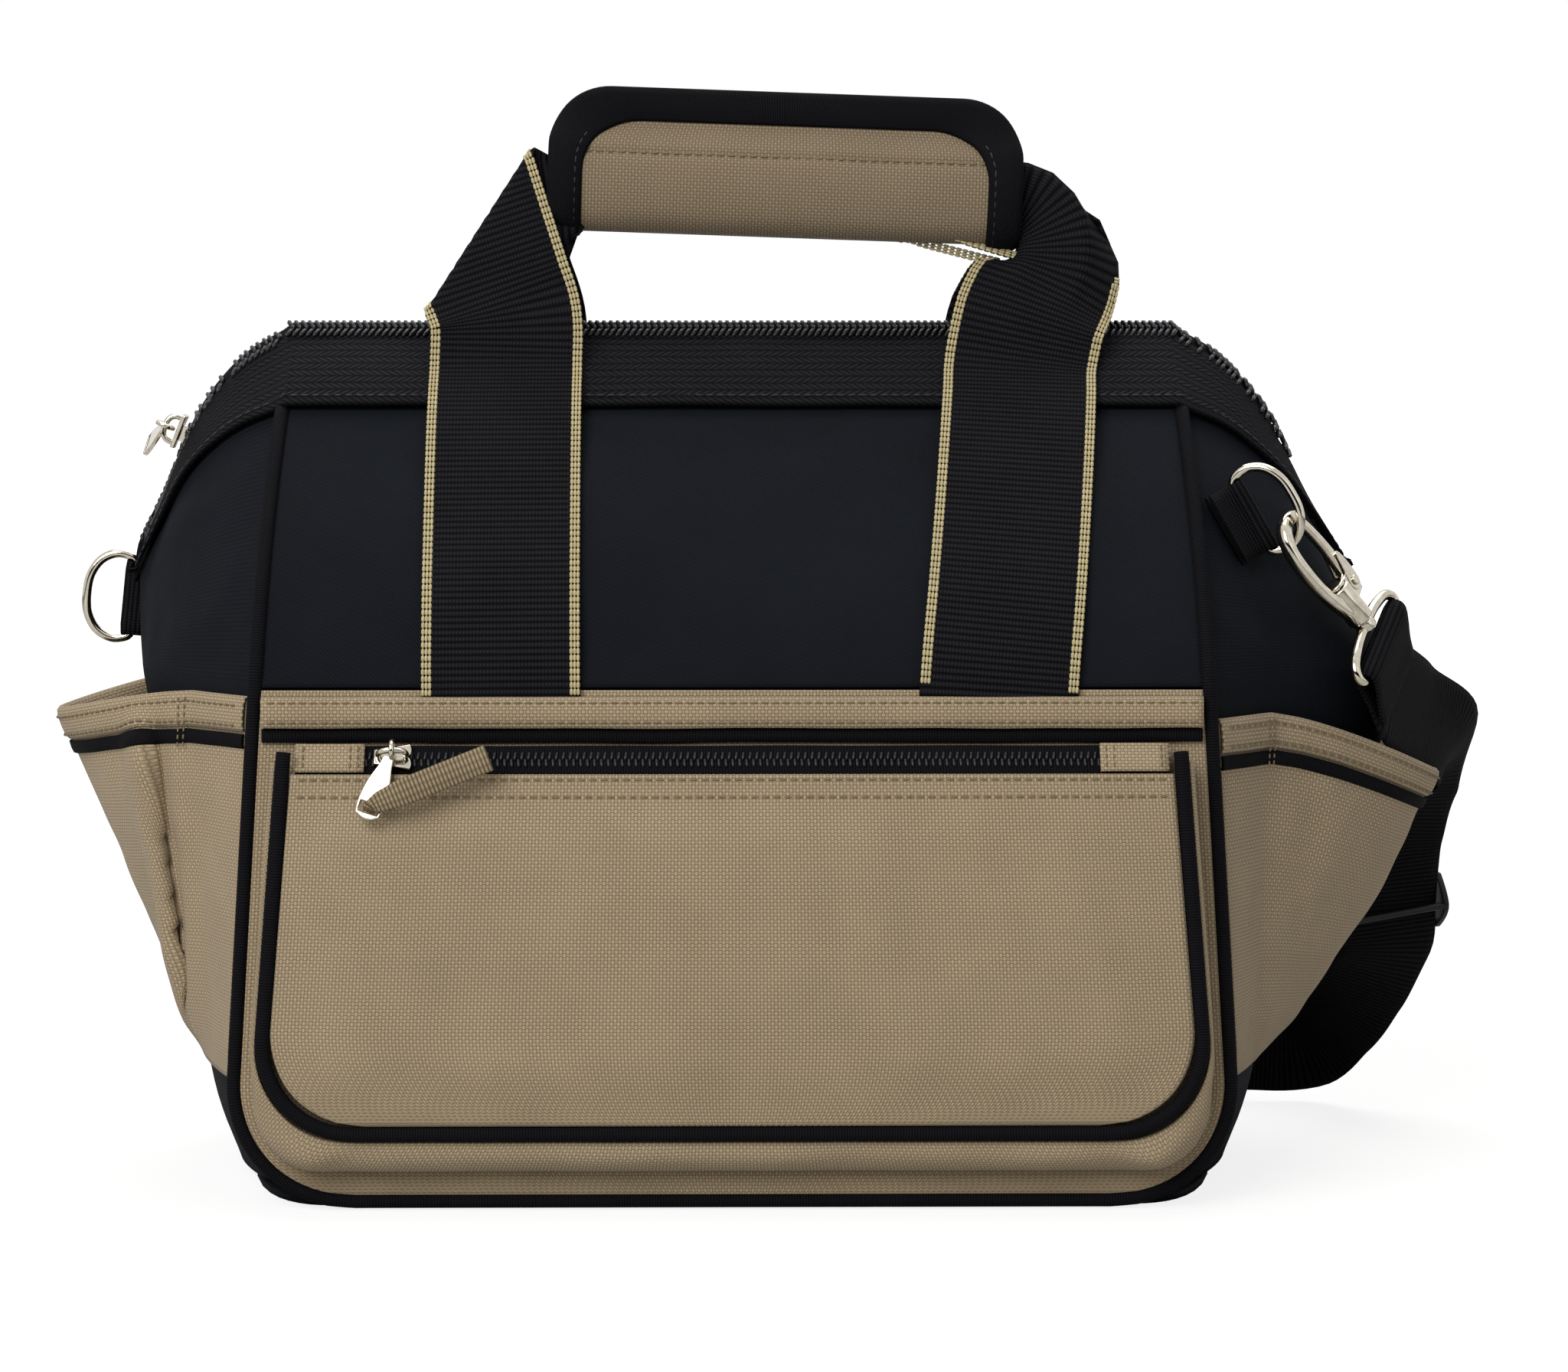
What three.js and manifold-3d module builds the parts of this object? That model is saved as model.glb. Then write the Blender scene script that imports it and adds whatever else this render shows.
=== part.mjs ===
// Tool tote bag: a zip-top canvas bag with a front zip pocket, flared end pockets, wrapped webbing handles
// and an adjustable shoulder strap clipped to one end. Millimetres, +Z up, front towards -Y.
// The origin is the middle of the base, on the surface the bag stands on.
import * as THREE from "three";
import { mergeVertices } from "three/addons/utils/BufferGeometryUtils.js";
import Module from "manifold-3d";

// Driving dimensions
const halfDepth = 95;
const shoulderHeight = 168;
const ridgeHeight = 283;
const frontHalfWidthLow = 163;
const frontHalfWidthHigh = 155;
const ridgeHalfWidth = 150;
const cornerRadius = 38;
const cloth = 1.2;
const gap = 0.35;
const pipingRadius = 2.4;
const mouthShare = 0.75;
const panelShare = 0.775;
const bindingHeight = 10;
const ribbonHeight = 4.4;

// Reach of the end's outermost line, as height and distance from the middle
const tipLine = [[0, 166], [20, 174], [42, 179], [110, 190], [168, 200]];
// Line of the mouth zip over one end, as distance from the middle and height
const ridgeEnd = [[202, 208], [190, 229], [180, 252], [172, 264], [162, 274], [ridgeHalfWidth, 281]];

const pocket = {
  proud: 13, topZ: 146, faceTopZ: 141, bottomZ: 24,
  halfTop: 145, halfLow: 152.5, radius: 30,
};
const pocketFoot = { bottomZ: 12.5, halfLow: 154, radius: 22 };
const pocketZip = { lowZ: 141.5, highZ: 150.4, lowY: 10.5, highY: 4.6, halfLength: 139, tabInner: 117 };
const endPocket = { bottomZ: 42, flatFrom: 0.62, flareSpread: 1.3 };
const leftPocket = { side: -1, topZ: 166, flare: 27, droop: 9 };
const rightBulge = { reach: 22, spread: 0.78, fromZ: 60, peakZ: 165 };
const rightPocket = { side: 1, topZ: 160, flare: 25, droop: 26 };

const handle = {
  width: 50.8, thickness: 1.8, lowZ: 157.5, leftX: -74,
  rightX: 85, leftTopX: -75.5, rightTopX: 98,
};
const grip = {
  middleX: 18, middleZ: 336.5, halfLength: 78, halfHeight: 23.5,
  halfDepth: 13, tilt: 0.035, wall: 2,
};
const ring = {
  wire: 1.4, halfBar: 14.2, depth: 15.5, tabWidth: 25,
  tabThickness: 1.3, tabTail: 15, tabSeat: 0.5,
};
const hook = {
  thickness: 4.6, lug: 2, pivotX: 8.2, pivotY: 5.2,
  rivet: 1.2, post: 2.3, eyeWire: 1.7, eyeHalf: 20.5,
};
const strap = { width: 38, thickness: 1.7 };

const tan = 0x9c8769;
const black = 0x15171c;
const blackWebbing = 0x17171a;
const nickel = 0xc9c6c0;
const plastic = 0x1b1b1d;

const wasm = await Module();
wasm.setup();
const bag = new THREE.Group();
const V = (x, y, z) => new THREE.Vector3(x, y, z);
const lerp = THREE.MathUtils.lerp;

// Common makers of solids

function fabric(color) {
  return new THREE.MeshStandardMaterial({ color, roughness: 0.85, metalness: 0 });
}

function metal(color) {
  return new THREE.MeshStandardMaterial({ color, roughness: 0.25, metalness: 1 });
}

function moulded(color) {
  return new THREE.MeshStandardMaterial({ color, roughness: 0.45, metalness: 0 });
}

function add(name, geometry, material, parent = bag) {
  const mesh = new THREE.Mesh(geometry, material);
  mesh.name = name;
  parent.add(mesh);
  return mesh;
}

// Evenly spread numbers from low to high, ends included.
function spread(low, high, count) {
  return Array.from({ length: count }, (_, i) => lerp(low, high, i / (count - 1)));
}

// Height on a line of straight stretches through a short list of stations.
function along(stations, x) {
  const next = Math.max(1, stations.findIndex(([at]) => at >= x));
  const [x0, y0] = stations[next - 1];
  const [x1, y1] = stations[next];
  return lerp(y0, y1, (x - x0) / (x1 - x0));
}

// A closed surface from points and triangles, turned to face out.
function closedSurface(points, triangles) {
  let volume = 0;
  for (const [a, b, c] of triangles) volume += points[a].dot(points[b].clone().cross(points[c]));
  const geometry = new THREE.BufferGeometry().setFromPoints(points);
  geometry.setIndex(triangles.flatMap(([a, b, c]) => (volume < 0 ? [a, c, b] : [a, b, c])));
  geometry.computeVertexNormals();
  return geometry;
}

// A sheet of cloth: rows of points on its outer face and the matching rows on its inner face.
function slab(outer, inner) {
  const last = outer.length - 1;
  const end = outer[0].length - 1;
  const size = outer.flat().length;
  const at = (face, i, j) => face * size + i * (end + 1) + j;
  const triangles = [];
  const quad = (a, b, c, d) => triangles.push([a, b, c], [a, c, d]);
  for (let i = 0; i < last; i++) {
    for (let j = 0; j < end; j++) {
      quad(at(0, i, j), at(0, i, j + 1), at(0, i + 1, j + 1), at(0, i + 1, j));
      quad(at(1, i, j), at(1, i + 1, j), at(1, i + 1, j + 1), at(1, i, j + 1));
    }
    quad(at(0, i, 0), at(0, i + 1, 0), at(1, i + 1, 0), at(1, i, 0));
    quad(at(0, i + 1, end), at(0, i, end), at(1, i, end), at(1, i + 1, end));
  }
  for (let j = 0; j < end; j++) {
    quad(at(0, 0, j + 1), at(0, 0, j), at(1, 0, j), at(1, 0, j + 1));
    quad(at(0, last, j), at(0, last, j + 1), at(1, last, j + 1), at(1, last, j));
  }
  return closedSurface([...outer.flat(), ...inner.flat()], triangles);
}

// Outward direction of a surface, away from the middle of the bag.
const bagMiddle = V(0, 0, 110);
function outward(surface, u, v) {
  const step = 0.002;
  const du = surface(u + step, v).sub(surface(u - step, v));
  const dv = surface(u, v + step).sub(surface(u, v - step));
  const normal = du.cross(dv).normalize();
  return normal.dot(surface(u, v).sub(bagMiddle)) < 0 ? normal.negate() : normal;
}

// A piece of cloth that lies on a surface, between two distances from it.
function patch(surface, us, vs, low, high) {
  const raised = (u, v, off) => surface(u, v).addScaledVector(outward(surface, u, v), off);
  const layer = (off) => vs.map((v) => us.map((u) => raised(u, v, off)));
  return slab(layer(high), layer(low));
}

// A body skinned over closed rings of points, with flat ends.
function skin(rings) {
  const count = rings[0].length;
  const points = rings.flat();
  const triangles = [];
  for (let i = 0; i < rings.length - 1; i++) {
    for (let j = 0; j < count; j++) {
      const a = i * count + j;
      const b = i * count + ((j + 1) % count);
      triangles.push([a, b, b + count], [a, b + count, a + count]);
    }
  }
  const top = (rings.length - 1) * count;
  for (let j = 1; j < count - 1; j++) {
    triangles.push([0, j + 1, j], [top, top + j, top + j + 1]);
  }
  return closedSurface(points, triangles);
}

// Flat webbing along stations of a point, the direction across it and its width.
function webbing(stations, thickness, steps) {
  const route = new THREE.CatmullRomCurve3(stations.map(([point]) => point), false, "centripetal");
  const turn = new THREE.CatmullRomCurve3(stations.map(([, across]) => across), false, "catmullrom", 0.3);
  const rings = spread(0, 1, steps + 1).map((t) => {
    const place = t * (stations.length - 1);
    const first = Math.min(Math.floor(place), stations.length - 2);
    const width = lerp(stations[first][2], stations[first + 1][2], place - first);
    const tangent = route.getTangent(t);
    const side = turn.getPoint(t);
    side.addScaledVector(tangent, -side.dot(tangent)).normalize().multiplyScalar(width / 2);
    const up = tangent.clone().cross(side).normalize().multiplyScalar(thickness / 2);
    const middle = route.getPoint(t);
    const corner = (s, u) => middle.clone().addScaledVector(side, s).addScaledVector(up, u);
    return [corner(-1, -1), corner(1, -1), corner(1, 1), corner(-1, 1)];
  });
  return skin(rings);
}

// Round stock along an open curve.
function rod(curve, radius, sides, steps) {
  const section = new THREE.Shape();
  section.absarc(0, 0, radius, 0, 2 * Math.PI);
  return new THREE.ExtrudeGeometry(section, { steps, curveSegments: sides / 2, extrudePath: curve });
}

// A plate: an outline with a thickness centred on its plane.
function plate(outline, thickness, curveSegments = 6) {
  const options = { depth: thickness, bevelEnabled: false, curveSegments };
  const geometry = new THREE.ExtrudeGeometry(outline, options);
  return geometry.translate(0, 0, -thickness / 2);
}

function toSolid(geometry) {
  const bare = geometry.index ? geometry.toNonIndexed() : geometry.clone();
  bare.deleteAttribute("normal");
  bare.deleteAttribute("uv");
  const merged = mergeVertices(bare, 1e-4);
  const vertProperties = merged.attributes.position.array;
  const triVerts = new Uint32Array(merged.index.array);
  return new wasm.Manifold(new wasm.Mesh({ numProp: 3, vertProperties, triVerts }));
}

function toGeometry(solid) {
  const { vertProperties, triVerts } = solid.getMesh();
  const geometry = new THREE.BufferGeometry();
  geometry.setAttribute("position", new THREE.BufferAttribute(new Float32Array(vertProperties), 3));
  geometry.setIndex(Array.from(triVerts));
  geometry.computeVertexNormals();
  return geometry;
}

function join(first, ...others) {
  return toGeometry(others.reduce((whole, other) => whole.add(toSolid(other)), toSolid(first)));
}

function cut(first, ...tools) {
  return toGeometry(tools.reduce((whole, tool) => whole.subtract(toSolid(tool)), toSolid(first)));
}

// The bag's skin

function halfWidth(z) {
  return along([[0, frontHalfWidthLow], [50, frontHalfWidthLow], [shoulderHeight, frontHalfWidthHigh]], z);
}

// Side seam, which turns in round the lower corners.
function seamHalf(z) {
  const drop = Math.max(0, cornerRadius - z);
  return halfWidth(z) - cornerRadius + Math.sqrt(cornerRadius ** 2 - drop ** 2) - pipingRadius;
}

// The right end is pushed out from inside, most at the shoulder.
function endBulge(side, u, z) {
  const { reach, spread: half, fromZ, peakZ } = rightBulge;
  const rise = THREE.MathUtils.smoothstep(z, fromZ, peakZ);
  return side < 0 ? 0 : reach * rise * Math.max(0, 1 - (u / half) ** 2) ** 2;
}

// End of the bag below the shoulder: u runs from the front seam (-1) over the outermost line (0)
// to the back seam (1).
function endLow(side, u, z) {
  const x = lerp(along(tipLine, z), seamHalf(z), Math.abs(u) ** 1.8) + endBulge(side, u, z);
  return V(side * x, u * (halfDepth - pipingRadius - gap - cloth), z);
}

// Half of an arch between the shoulder and the mouth zip.
function arch(low, control, high, s) {
  const point = low.multiplyScalar((1 - s) ** 2);
  return point.addScaledVector(control, 2 * s * (1 - s)).addScaledVector(high, s ** 2);
}

const archControl = V(153, 80, 226);
// Front or back above the shoulder: f runs across from -1 to 1, s from the shoulder up to the zip.
function faceHigh(front, f, s) {
  const low = V(f * frontHalfWidthHigh, front * halfDepth, shoulderHeight);
  const control = V(f * archControl.x, front * archControl.y, archControl.z);
  return arch(low, control, V(f * ridgeHalfWidth, 0, ridgeHeight), s);
}

const ridgeCurve = new THREE.CatmullRomCurve3(ridgeEnd.map(([x, z]) => V(x, 0, z)));
// End above the shoulder, split along its outermost line by the zip.
function endHigh(side, u, s) {
  const low = endLow(side, u, shoulderHeight);
  const share = Math.min(Math.abs(u), 1);
  const high = ridgeCurve.getPointAt(share);
  high.x *= side;
  const swell = archControl.y - halfDepth / 2;
  const control = low.clone().add(high).multiplyScalar(0.5);
  control.add(V(side * 4 * Math.sin(Math.PI * share), swell * u, 0));
  return arch(low, control, high, s);
}

// Whole end: v is a height up to the shoulder, and above it the share of the way to the zip,
// added to the shoulder.
function endSkin(side, u, v) {
  return v <= shoulderHeight ? endLow(side, u, v) : endHigh(side, u, v - shoulderHeight);
}

const endColumns = spread(-0.98, 0.98, 13);
const endRows = [2.6, 8, 20, 42, 76, 110, 140, shoulderHeight];
const highRows = spread(0.12, panelShare, 5).map((s) => shoulderHeight + s);
for (const [name, side] of [["left", -1], ["right", 1]]) {
  const surface = (u, v) => endSkin(side, u, v);
  add(`${name}_end_panel`, patch(surface, endColumns, [...endRows, ...highRows], -cloth, 0), fabric(black));
}

// Shell: base, stiffener, front and back panels

function uOutline(top, topZ, low, bottomZ, radius) {
  const path = new THREE.Path();
  const ease = 0.42 * radius;
  path.moveTo(-top, topZ);
  path.lineTo(-low, bottomZ + radius);
  path.bezierCurveTo(-low, bottomZ + ease, ease - low, bottomZ, radius - low, bottomZ);
  path.lineTo(low - radius, bottomZ);
  path.bezierCurveTo(low - ease, bottomZ, low, bottomZ + ease, low, bottomZ + radius);
  path.lineTo(top, topZ);
  return path;
}

// Turns a flat outline up to stand across the bag at a given y.
function upright(geometry, y) {
  return geometry.rotateX(Math.PI / 2).translate(0, y, 0);
}

function bodyOutline(inset, topZ) {
  const high = halfWidth(Math.min(topZ, shoulderHeight)) - inset;
  return uOutline(high, topZ, frontHalfWidthLow - inset, inset, cornerRadius);
}

const panelInset = 2 * pipingRadius + gap;
const panelTop = shoulderHeight - gap;
const faceReach = 1 - panelInset / frontHalfWidthHigh;
const faceRows = spread(0.005, panelShare, 8);

const baseOutline = new THREE.Shape();
const baseFront = halfDepth - 2 * pipingRadius - gap;
baseOutline.moveTo(-130, -baseFront);
baseOutline.lineTo(130, -baseFront);
baseOutline.quadraticCurveTo(158, -baseFront, 163, 0);
baseOutline.quadraticCurveTo(158, baseFront, 130, baseFront);
baseOutline.lineTo(-130, baseFront);
baseOutline.quadraticCurveTo(-158, baseFront, -163, 0);
baseOutline.quadraticCurveTo(-158, -baseFront, -130, -baseFront);
const baseThickness = 2;
add("base_panel", plate(baseOutline, baseThickness).translate(0, 0, baseThickness / 2), fabric(black));

const board = { length: 270, width: 170, thickness: 3, lift: 2.4 };
const boardBody = new THREE.BoxGeometry(board.length, board.width, board.thickness);
add("base_board", boardBody.translate(0, 0, board.lift + board.thickness / 2), moulded(plastic));

for (const [name, front] of [["front", -1], ["back", 1]]) {
  const lower = new THREE.Shape(bodyOutline(panelInset, panelTop).getPoints(6));
  add(`${name}_lower_panel`, upright(plate(lower, cloth), front * (halfDepth - cloth / 2)), fabric(tan));
  const face = (f, s) => faceHigh(front, f, s);
  const upper = patch(face, spread(-faceReach, faceReach, 5), faceRows, -cloth, 0);
  add(`${name}_upper_panel`, upper, fabric(black));

  const seamY = front * (halfDepth - 1);
  const seamLine = bodyOutline(pipingRadius, shoulderHeight).getSpacedPoints(36);
  const lowSeam = seamLine.map((p) => V(p.x, seamY, p.y));
  const reach = 1 - pipingRadius / frontHalfWidthHigh;
  const rise = spread(0.1, 0.7, 6);
  const leftRise = rise.toReversed().map((s) => faceHigh(front, -reach, s));
  const rightRise = rise.map((s) => faceHigh(front, reach, s));
  const seam = new THREE.CatmullRomCurve3([...leftRise, ...lowSeam, ...rightRise], false, "centripetal");
  add(`${name}_piping`, rod(seam, pipingRadius, 6, 54), fabric(black));
}

// Mouth: webbing bands and zip halves along the ridge

// w runs from the left end's outermost line (0) over the front corners (1 and 2) to the right end's (3).
function mouthSurface(front, w, v) {
  const corner = Math.abs(w - 1.5) - 0.5;
  const topShare = 0.965 - 0.23 * THREE.MathUtils.clamp(corner, 0, 1) ** 2;
  const s = lerp(mouthShare + 0.01, topShare, v);
  if (w < 1) return endHigh(-1, front * w, s);
  if (w > 2) return endHigh(1, front * (3 - w), s);
  return faceHigh(front, 2 * w - 3, s);
}

const endSteps = [0.03, 0.2, 0.4, 0.6, 0.8, 0.92, 0.985];
const mouthSteps = [...endSteps, 1.02, 1.2, 1.5, 1.8, 1.98, ...endSteps.toReversed().map((w) => 3 - w)];
const ridgeRight = ridgeEnd.toReversed().map(([x, z]) => V(x, 0, z));
const ridgeLeft = ridgeEnd.map(([x, z]) => V(-x, 0, z));
const ridgeTop = [V(-143, 0, ridgeHeight), V(0, 0, ridgeHeight), V(143, 0, ridgeHeight)];
const ridge = new THREE.CatmullRomCurve3([...ridgeLeft, ...ridgeTop, ...ridgeRight], false, "centripetal");
const zip = { width: 3.4, thickness: 2.4, lift: 1.6, slope: 0.6, between: 1.05 };

function zipHalf(front) {
  const stations = spread(0, 1, 31).map((t) => {
    const point = ridge.getPointAt(t);
    const up = ridge.getTangentAt(t).cross(V(0, 1, 0)).normalize();
    const across = V(0, front * Math.cos(zip.slope), 0).addScaledVector(up, -Math.sin(zip.slope));
    point.addScaledVector(up, zip.lift).addScaledVector(across, zip.between + zip.width / 2);
    return [point, across, zip.width];
  });
  return webbing(stations, zip.thickness, 44);
}

for (const [name, front] of [["front", -1], ["back", 1]]) {
  const surface = (w, v) => mouthSurface(front, w, v);
  const band = patch(surface, mouthSteps, [0, 0.15, 0.5, 1], 1.2, 2.7);
  add(`${name}_mouth_webbing`, band, fabric(blackWebbing));
  add(`${name}_mouth_zip`, zipHalf(front), moulded(plastic));
}

// Front zip pocket

const pocketY = -halfDepth - pocket.proud;
function pocketOutline(inset, topZ) {
  const rise = (topZ - pocket.bottomZ - pocket.radius) / (pocket.topZ - pocket.bottomZ - pocket.radius);
  const top = lerp(pocket.halfLow, pocket.halfTop, rise) - inset;
  const radius = pocket.radius + pipingRadius - inset;
  return uOutline(top, topZ, pocket.halfLow - inset, pocket.bottomZ + inset, radius);
}

function pocketGusset() {
  const count = 40;
  const ply = 1;
  const row = (path, y) => path.getSpacedPoints(count).map((p) => V(p.x, y, p.y));
  const foot = (inset) => {
    const low = pocketFoot.halfLow - inset;
    const { bottomZ, radius } = pocketFoot;
    return uOutline(pocket.halfTop - inset, pocket.topZ, low, bottomZ + inset, radius);
  };
  const footY = -halfDepth - gap;
  const faceY = pocketY + pipingRadius + gap;
  const layer = (inset) => [row(foot(inset), footY), row(pocketOutline(inset, pocket.topZ), faceY)];
  return slab(layer(0), layer(ply));
}

const faceThickness = 1.4;
const faceOutline = new THREE.Shape(pocketOutline(panelInset, pocket.faceTopZ).getPoints(6));
const pocketSeamLine = pocketOutline(pipingRadius, pocket.topZ + 3).getSpacedPoints(36);
const pocketSeam = pocketSeamLine.map((p) => V(p.x, pocketY, p.y));
const pocketSeamCurve = new THREE.CatmullRomCurve3(pocketSeam, false, "centripetal");
add("front_pocket_gusset", pocketGusset(), fabric(tan));
add("front_pocket_face", upright(plate(faceOutline, faceThickness), pocketY), fabric(tan));
add("front_pocket_piping", rod(pocketSeamCurve, pipingRadius, 6, 40), fabric(black));

const zipLow = V(0, -halfDepth - pocketZip.lowY, pocketZip.lowZ);
const zipHigh = V(0, -halfDepth - pocketZip.highY, pocketZip.highZ);
const zipAcross = zipHigh.clone().sub(zipLow);
const zipWidth = zipAcross.length();
zipAcross.normalize();
const zipFacing = V(1, 0, 0).cross(zipAcross);
const zipMiddle = zipLow.clone().add(zipHigh).multiplyScalar(0.5);
const pocketZipThickness = 1.6;

// A straight strip in the plane of the pocket zip, raised off it.
function zipStrip(fromX, toX, width, thickness, lift) {
  const at = (x) => zipMiddle.clone().addScaledVector(zipFacing, lift).setX(x);
  return webbing([[at(fromX), zipAcross, width], [at(toX), zipAcross, width]], thickness, 1);
}

const tabThickness = 1.1;
const tabLift = pocketZipThickness / 2 + gap + tabThickness / 2;
function zipTab(side) {
  const { tabInner, halfLength } = pocketZip;
  return zipStrip(side * tabInner, side * halfLength, zipWidth - 0.6, tabThickness, tabLift);
}

const coil = zipStrip(-pocketZip.halfLength, pocketZip.halfLength, zipWidth, pocketZipThickness, 0);
add("front_pocket_zip", coil, moulded(plastic));
add("zip_end_tab_left", zipTab(-1), fabric(tan));
add("zip_end_tab_right", zipTab(1), fabric(tan));

// Bindings and ribbons across front and back, with notches where the handle straps tuck in

const ribbonLow = pocketZip.highZ + 0.6;
const bindingLow = ribbonLow + ribbonHeight + gap;
const bindingThickness = 3.8;
const ribbonThickness = 1.1;
const notch = { width: handle.width + 1, depth: 2.9, lowZ: handle.lowZ - 0.4 };

function crossBand(front, lowZ, height, thickness) {
  const half = halfWidth(lowZ) - panelInset - 0.3;
  const body = new THREE.BoxGeometry(2 * half, thickness, height);
  return body.translate(0, front * (halfDepth + gap + thickness / 2), lowZ + height / 2);
}

for (const [name, front] of [["front", -1], ["back", 1]]) {
  const notches = [handle.leftX, handle.rightX].map((x) => {
    const tool = new THREE.BoxGeometry(notch.width, 2 * notch.depth, 2 * bindingHeight);
    return tool.translate(x, front * halfDepth, notch.lowZ + bindingHeight);
  });
  const band = crossBand(front, bindingLow, bindingHeight, bindingThickness);
  add(`${name}_top_binding`, cut(band, ...notches), fabric(tan));
  add(`${name}_ribbon`, crossBand(front, ribbonLow, ribbonHeight, ribbonThickness), fabric(blackWebbing));
}

// End pockets: flat against the end near its seams, flared open in the middle

function pocketSwell(u) {
  return Math.max(0, 1 - (u / endPocket.flatFrom) ** 2) ** endPocket.flareSpread;
}

function endPocketSurface(pouch, u, v) {
  const swell = pocketSwell(u);
  const z = lerp(endPocket.bottomZ, pouch.topZ - pouch.droop * swell, v);
  const point = endLow(pouch.side, u, z);
  point.x += pouch.side * pouch.flare * swell * Math.max(v, 0) ** 1.2;
  return point;
}

const pouchColumns = spread(-0.965, 0.965, 21);
const pouchDepth = rightPocket.topZ - endPocket.bottomZ;
const pouchBinding = bindingHeight / pouchDepth;
const pouchRibbon = ribbonHeight / pouchDepth;
for (const [name, pouch] of [["left", leftPocket], ["right", rightPocket]]) {
  const surface = (u, v) => endPocketSurface(pouch, u, v);
  const strip = (low, high, from, to) => patch(surface, pouchColumns, [low, high], from, to);
  const ribbonTop = 1 - pouchBinding - 0.004;
  add(`${name}_pocket`, patch(surface, pouchColumns, spread(0, 1, 5), 0.9, 2.1), fabric(tan));
  add(`${name}_pocket_binding`, strip(1 - pouchBinding, 1.005, 2.8, 4), fabric(tan));
  add(`${name}_pocket_ribbon`, strip(ribbonTop - pouchRibbon, ribbonTop, 2.8, 3.8), fabric(blackWebbing));
}

// Handles: one strap in front and one behind, folded narrow inside the grip

const legRows = [0.08, 0.25, 0.42, 0.58, 0.7, 0.78, 0.86];
const sewn = 0.6 + handle.thickness / 2;
const overBand = 4.8;

// Stations up one leg, from under the binding to where it leaves the bag.
function legStations(front, lowX, highX, across) {
  const flat = [handle.lowZ, shoulderHeight - 4].map((z) => V(lowX, front * (halfDepth + sewn), z));
  const risen = legRows.map((s) => {
    const surface = (x, share) => faceHigh(front, x / frontHalfWidthHigh, share);
    const x = lerp(lowX, highX, s);
    const lift = lerp(sewn + 0.2, overBand, THREE.MathUtils.smoothstep(s, 0.4, 0.75));
    return surface(x, s).addScaledVector(outward(surface, x, s), lift).setX(x);
  });
  return [...flat, ...risen].map((point) => [point, across, handle.width]);
}

function handleStrap(front) {
  const y = (depth) => front * depth;
  const left = legStations(front, handle.leftX, handle.leftTopX, V(1, 0, 0));
  const right = legStations(front, handle.rightX, handle.rightTopX, V(-1, 0, 0)).toReversed();
  const top = [
    [V(-75.5, y(20), 286), V(1, 0, 0), handle.width],
    [V(-75.8, y(16), 298), V(1, 0, -0.06), handle.width],
    [V(-77, y(12), 309), V(0.95, 0, -0.3), 38],
    [V(-73.5, y(8), 320), V(0.82, 0, -0.57), 25],
    [V(-66, y(5.4), 328.5), V(0.45, 0, -0.89), 19],
    [V(-52, y(4.6), 331.5), V(0.04, 0, -1), 20],
    [V(18, y(4.6), 329.5), V(-0.03, 0, -1), 20],
    [V(86, y(4.6), 327), V(-0.08, 0, -1), 20],
    [V(101, y(5.4), 324.5), V(-0.45, 0, -0.89), 19],
    [V(107.5, y(8), 316), V(-0.82, 0, -0.57), 17],
    [V(110.5, y(12), 303), V(-0.96, 0, -0.25), 27],
    [V(104, y(16), 291.5), V(-1, 0, 0.04), 46],
    [V(99.5, y(20), 286), V(-1, 0, 0.08), handle.width],
  ];
  return webbing([...left, ...top, ...right], handle.thickness, 84);
}

add("front_handle_strap", handleStrap(-1), fabric(blackWebbing));
add("back_handle_strap", handleStrap(1), fabric(blackWebbing));

// Grip wrap: two halves that meet along a fold under the hand and close at the top

const gripGroup = new THREE.Group();
gripGroup.position.set(grip.middleX, 0, grip.middleZ);
gripGroup.rotation.y = grip.tilt;
bag.add(gripGroup);

// Section of one half from the fold up to the closing edge, as depth and height.
const gripSection = new THREE.SplineCurve(
  [
    [0.6, -grip.halfHeight], [6, -22.4], [10.5, -18.3], [grip.halfDepth, -10], [12.8, -1],
    [10, 6.5], [6.3, 11.5], [4.7, 16], [4.7, grip.halfHeight],
  ].map(([depth, height]) => new THREE.Vector2(depth, height)),
);

// A layer of one half between two distances outside the section, over its full length.
function gripLayer(front, inner, outer) {
  const shares = spread(0, 1, 17);
  const row = (x, off) =>
    shares.map((t) => {
      const point = gripSection.getPoint(t);
      const tangent = gripSection.getTangent(t);
      return V(x, front * (point.x + tangent.y * off), point.y - tangent.x * off);
    });
  const layer = (off) => spread(-grip.halfLength, grip.halfLength, 3).map((x) => row(x, off));
  return slab(layer(outer), layer(inner));
}

// A block through the grip, with round upper corners, that trims a half to its cut outline.
function gripTrim(inset, radius) {
  const half = grip.halfLength - inset;
  const top = grip.halfHeight + 2 - inset;
  const low = -2 * grip.halfHeight;
  const outline = new THREE.Shape();
  outline.moveTo(-half, low);
  outline.lineTo(half, low);
  outline.lineTo(half, top - radius);
  outline.absarc(half - radius, top - radius, radius, 0, Math.PI / 2);
  outline.absarc(radius - half, top - radius, radius, Math.PI / 2, Math.PI);
  return upright(plate(outline, 4 * grip.halfDepth, 5), 0);
}

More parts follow.
